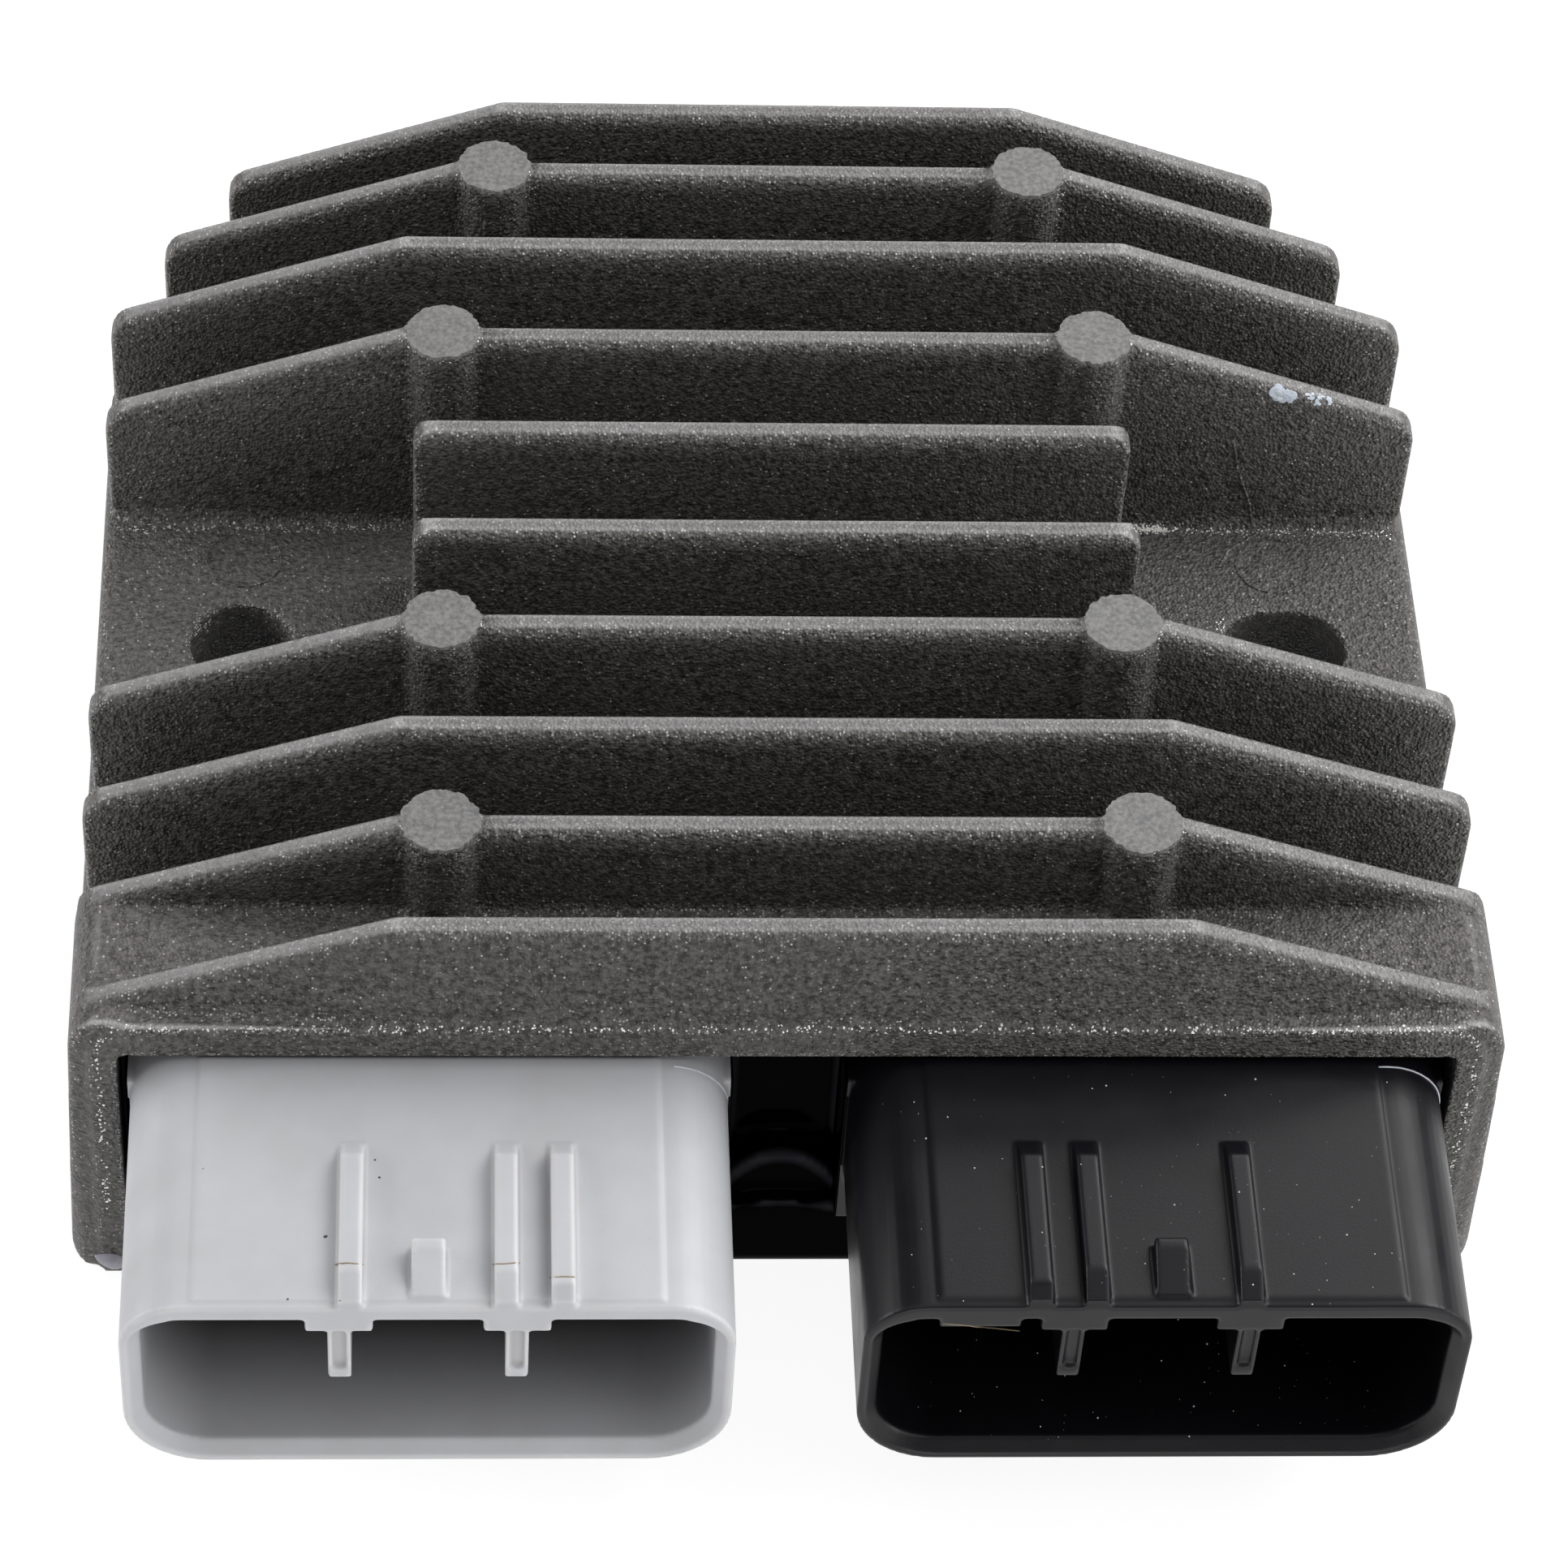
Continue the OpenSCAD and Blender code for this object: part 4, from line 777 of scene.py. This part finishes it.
# %% Beads along lines
bead_tree, given, made, bead_ids = geometry_tree(
    "beads_along_lines", {"Radius": "NodeSocketFloat", "Step": "NodeSocketFloat", "Wander": "NodeSocketFloat",
                          "Glint": "NodeSocketFloat", "Finish": "NodeSocketMaterial"})
line = add_node(bead_tree, "GeometryNodeMeshToCurve", {"Mesh": given["Geometry"]})
fine = add_node(bead_tree, "GeometryNodeResampleCurve", {"Curve": line.outputs[0], "Length": given["Step"]}, mode="LENGTH")
shake = add_node(bead_tree, "ShaderNodeTexNoise",
                 {"Vector": add_node(bead_tree, "GeometryNodeInputPosition").outputs[0],
                  "Scale": pattern_scale(0.6), "Detail": 2.0})
centred = add_node(bead_tree, "ShaderNodeVectorMath", {0: shake.outputs["Color"], 1: (0.5, 0.5, 0.5)}, operation="SUBTRACT")
moved = add_node(bead_tree, "ShaderNodeVectorMath", {0: centred.outputs[0], "Scale": given["Wander"]}, operation="SCALE")
wavy = add_node(bead_tree, "GeometryNodeSetPosition", {"Geometry": fine.outputs[0], "Offset": moved.outputs[0]})
section = add_node(bead_tree, "GeometryNodeCurvePrimitiveCircle", {"Resolution": 8, "Radius": given["Radius"]})
swept = add_node(bead_tree, "GeometryNodeCurveToMesh",
                 {"Curve": wavy.outputs[0], "Profile Curve": section.outputs[0], "Fill Caps": True})
stored = add_node(bead_tree, "GeometryNodeStoreNamedAttribute",
                  {"Geometry": swept.outputs[0], "Name": "edge", "Value": given["Glint"]},
                  data_type="FLOAT", domain="POINT")
real = add_node(bead_tree, "GeometryNodeRealizeInstances", {"Geometry": stored.outputs[0]})
finished = add_node(bead_tree, "GeometryNodeSetMaterial", {"Geometry": real.outputs[0], "Material": given["Finish"]})
bead_tree.links.new(finished.outputs[0], made["Geometry"])


def lay_beads(name, lines, radius_mm, wander_mm, finish, glint=0.1):
    """Beads along lists of places, all in one piece."""
    places, joins = [], []
    for run in lines:
        joins += [(len(places) + i, len(places) + i + 1) for i in range(len(run) - 1)]
        places += [tuple(p) for p in run]
    mesh = bpy.data.meshes.new(name + "_lines")
    mesh.from_pydata(places, joins, [])
    obj = bpy.data.objects.new(name + "_lines", mesh)
    scene.collection.objects.link(obj)
    add_geometry_nodes(obj, bead_tree, bead_ids,
                       {"Radius": radius_mm * MM, "Step": 0.15 * MM, "Wander": wander_mm * MM,
                        "Glint": glint, "Finish": finish})
    ride_along(plain_mesh(obj, name))


def seen_line(search, *points):
    """Places on a piece along picture points, with three more between each two."""
    fine_points = []
    for (ax, ay), (bx, by) in zip(points, points[1:]):
        fine_points += [(ax + (bx - ax) * i / 4, ay + (by - ay) * i / 4) for i in range(4)]
    found = [seen_at(search, *p)[0] for p in fine_points + [points[-1]]]
    return [p for p in found if p is not None]


# %% Veins and ejector rings on the casting
DECK_Z = 16.0 * MM
rings = []
for side in (-1, 1):
    start, stop = (0, 360) if side < 0 else (60, 330)
    rings.append([Vector((side * 36.3 * MM + 2.6 * MM * math.cos(math.radians(a)),
                          7.9 * MM + 2.6 * MM * math.sin(math.radians(a)), DECK_Z - 0.02 * MM))
                  for a in range(start, stop + 1, 6)])
lay_beads("cast_rings", rings, 0.07, 0.22, coating)
lay_beads("cast_veins", [
    seen_line(on_housing, (1520, 545), (1524, 575), (1532, 600), (1540, 622), (1541, 640), (1546, 652)),
    seen_line(on_housing, (1548, 658), (1530, 668), (1512, 680), (1503, 700)),
], 0.1, 0.15, coating, glint=0.3)

# %% The line round the front frame and the fins' feet
# The die's two halves met on the raised border, in mm: half its width, its top, corner and face.
BORDER_HALF, BORDER_TOP, BORDER_CORNER, BORDER_Y, FOOT_Z = 44.1, 25.9, 2.4, -41.9, 7.0
border = [(-BORDER_HALF, FOOT_Z)]
for side, first in ((-1, 180), (1, 90)):
    for a in range(0, 91, 10):
        angle = math.radians(first - a)
        border.append((side * (BORDER_HALF - BORDER_CORNER) + BORDER_CORNER * math.cos(angle),
                       BORDER_TOP - BORDER_CORNER + BORDER_CORNER * math.sin(angle)))
border.append((BORDER_HALF, FOOT_Z))
border_run = [Vector((x, BORDER_Y + 0.12, z)) * MM for x, z in border]
foot_runs = [seen_line(on_housing, (142, 652), (320, 652), (492, 650)),
             seen_line(on_housing, (1400, 652), (1540, 656), (1715, 658))]

chance = np.random.default_rng(19)
glints = []
for start, stop in zip(border_run, border_run[1:]):
    for _ in range(max(1, round((stop - start).length / (0.22 * MM)))):
        px, py = picture_point(start.lerp(stop, chance.uniform(0, 1)))
        glints.append((on_housing, px, py, 5, 1, 0.07))
for run in foot_runs:
    for start, stop in zip(run, run[1:]):
        for _ in range(max(1, round((stop - start).length / (0.13 * MM)))):
            px, py = picture_point(start.lerp(stop, chance.uniform(0, 1)))
            glints.append((on_housing, px, py, 5, 1, 0.07))
strew("edge_glints", glints, bare_metal, 0.4, 23)

# %% Residue on the plastic and painted glint threads
lay_beads("rib_residue", [
    seen_line(on_grey, (413, 1558), (428, 1556), (447, 1558)),
    seen_line(on_grey, (607, 1558), (622, 1557), (640, 1556)),
    seen_line(on_grey, (678, 1574), (693, 1573), (708, 1574)),
], 0.045, 0.1, stain)
# A tan line along the black key's front edge.
lay_beads("key_tan_line", [seen_line(on_black, (1162, 1631), (1210, 1635), (1256, 1640))],
          0.05, 0.08, stain)
# Painted highlight: a thin pale bead round each socket's upper right corner stands for a glint.
corner_glint_threads = []
for middle_x, first, last in ((-SHELL_X, 84, 4), (SHELL_X, 100, -8)):
    corner_glint_threads.append([Vector((middle_x + SHELL_HALF_W - SHELL_TOP_R + 4.02 * math.cos(math.radians(a)), -42.25,
                                   SHELL_MIDDLE_Z + SHELL_HALF_H - SHELL_TOP_R + 4.02 * math.sin(math.radians(a)))) * MM
                           for a in range(first, last, -4)])
lay_beads("painted_glint_threads", corner_glint_threads, 0.06, 0.05, pale_sealant_and_glint)

# %% [markdown]
# ## Nodes that keep their CAD shape
# The blades, the board and its parts are plain stampings and packages, and their CAD shapes are
# right. They stay, and only their material slots change.

# %% Finishes for the nodes that stay
STAYING = {"terminal": tinned_brass, "circuit_board": laminate, "insulating_pad": silicone_pad,
           "power_switch": moulding_compound, "control_chip": moulding_compound,
           "sense_resistor": moulding_compound, "filter_capacitor": can_metal}
for name, node in nodes.items():
    for part, finish in STAYING.items():
        if part in name:
            node.data.materials.clear()
            node.data.materials.append(finish)
            print(name, "is", finish.name)

# %% [markdown]
# ## Stage and light
# The object stands on a pale floor in soft light. A big softbox hangs to the right and a little behind, a smaller one
# to the right and in front, one overhead and one high at the back give level faces their sheen, low ones light the left
# and right, a long low one fills the front and a weak one hangs high in front. The floor looks white to the camera and
# in reflections, the world only to the camera, through Light Path, so the lamps can stay at a plain level. The floor
# still takes the object's shadow.

# %% Floor and world
floor_material = bpy.data.materials.new("white_paper")
floor_material.use_nodes = True
tree = floor_material.node_tree
tree.nodes.clear()
path = add_node(tree, "ShaderNodeLightPath")
seen = add_node(tree, "ShaderNodeMath",
                {0: path.outputs["Is Camera Ray"], 1: path.outputs["Is Glossy Ray"]}, operation="MAXIMUM")
paper = add_node(tree, "ShaderNodeBsdfDiffuse", {"Color": linear("#efefef")})
shade = add_node(tree, "ShaderNodeBsdfDiffuse", {"Color": linear("#808080")})
glow = add_node(tree, "ShaderNodeEmission", {"Color": (1, 1, 1, 1), "Strength": 0.9})
lit = add_node(tree, "ShaderNodeAddShader", {0: shade.outputs[0], 1: glow.outputs[0]})
floor_mix = add_node(tree, "ShaderNodeMixShader",
                     {0: seen.outputs[0], 1: paper.outputs[0], 2: lit.outputs[0]})
add_node(tree, "ShaderNodeOutputMaterial", {"Surface": floor_mix.outputs[0]})

FLOOR_SIDE = 4.0
half = FLOOR_SIDE / 2
floor_mesh = bpy.data.meshes.new("floor")
floor_mesh.from_pydata([(-half, -half, 0), (half, -half, 0), (half, half, 0), (-half, half, 0)],
                       [], [(0, 1, 2, 3)])
floor_mesh.materials.append(floor_material)
floor = bpy.data.objects.new("floor", floor_mesh)
scene.collection.objects.link(floor)

world = bpy.data.worlds.new("white_studio")
world.use_nodes = True
scene.world = world
tree = world.node_tree
path = add_node(tree, "ShaderNodeLightPath")
strength = add_node(tree, "ShaderNodeMapRange",
                    {"Value": path.outputs["Is Camera Ray"], "To Min": 0.09, "To Max": 1.0})
backing = tree.nodes["Background"]
backing.inputs["Color"].default_value = (1, 1, 1, 1)
tree.links.new(strength.outputs[0], backing.inputs["Strength"])
print("floor:", FLOOR_SIDE, "m square")

# %% Lamps
def softbox(name, place, width, height, power):
    """A square area lamp that hangs at a place in metres and faces the object."""
    data = bpy.data.lights.new(name, "AREA")
    data.shape = "RECTANGLE"
    data.size, data.size_y = width, height
    data.energy = power
    lamp = bpy.data.objects.new(name, data)
    lamp.location = place
    aim = Vector((0, 0, 0.015)) - lamp.location
    lamp.rotation_euler = aim.to_track_quat("-Z", "Y").to_euler()
    scene.collection.objects.link(lamp)
    print(name, power, "W at", tuple(place))


softbox("key_softbox", (0.58, 0.26, 0.66), 0.5, 0.5, 5.6)
softbox("right_front_softbox", (0.62, -0.30, 0.62), 0.5, 0.5, 1.2)
softbox("top_softbox", (0.0, 0.0, 0.90), 1.0, 1.0, 2.2)
softbox("rear_softbox", (0.25, 0.65, 0.60), 0.5, 0.4, 2.2)
softbox("right_softbox", (0.90, -0.20, 0.18), 0.8, 0.3, 2.8)
softbox("left_softbox", (-0.85, 0.15, 0.30), 0.8, 0.5, 5.3)
softbox("front_softbox", (0.05, -0.95, 0.14), 1.2, 0.25, 3.4)
softbox("front_high_softbox", (-0.10, -0.70, 0.60), 0.8, 0.4, 0.3)

# %% [markdown]
# ## Colour output
# Standard view shows colours as they are written.

# %% Colour output
scene.view_settings.view_transform = "Standard"
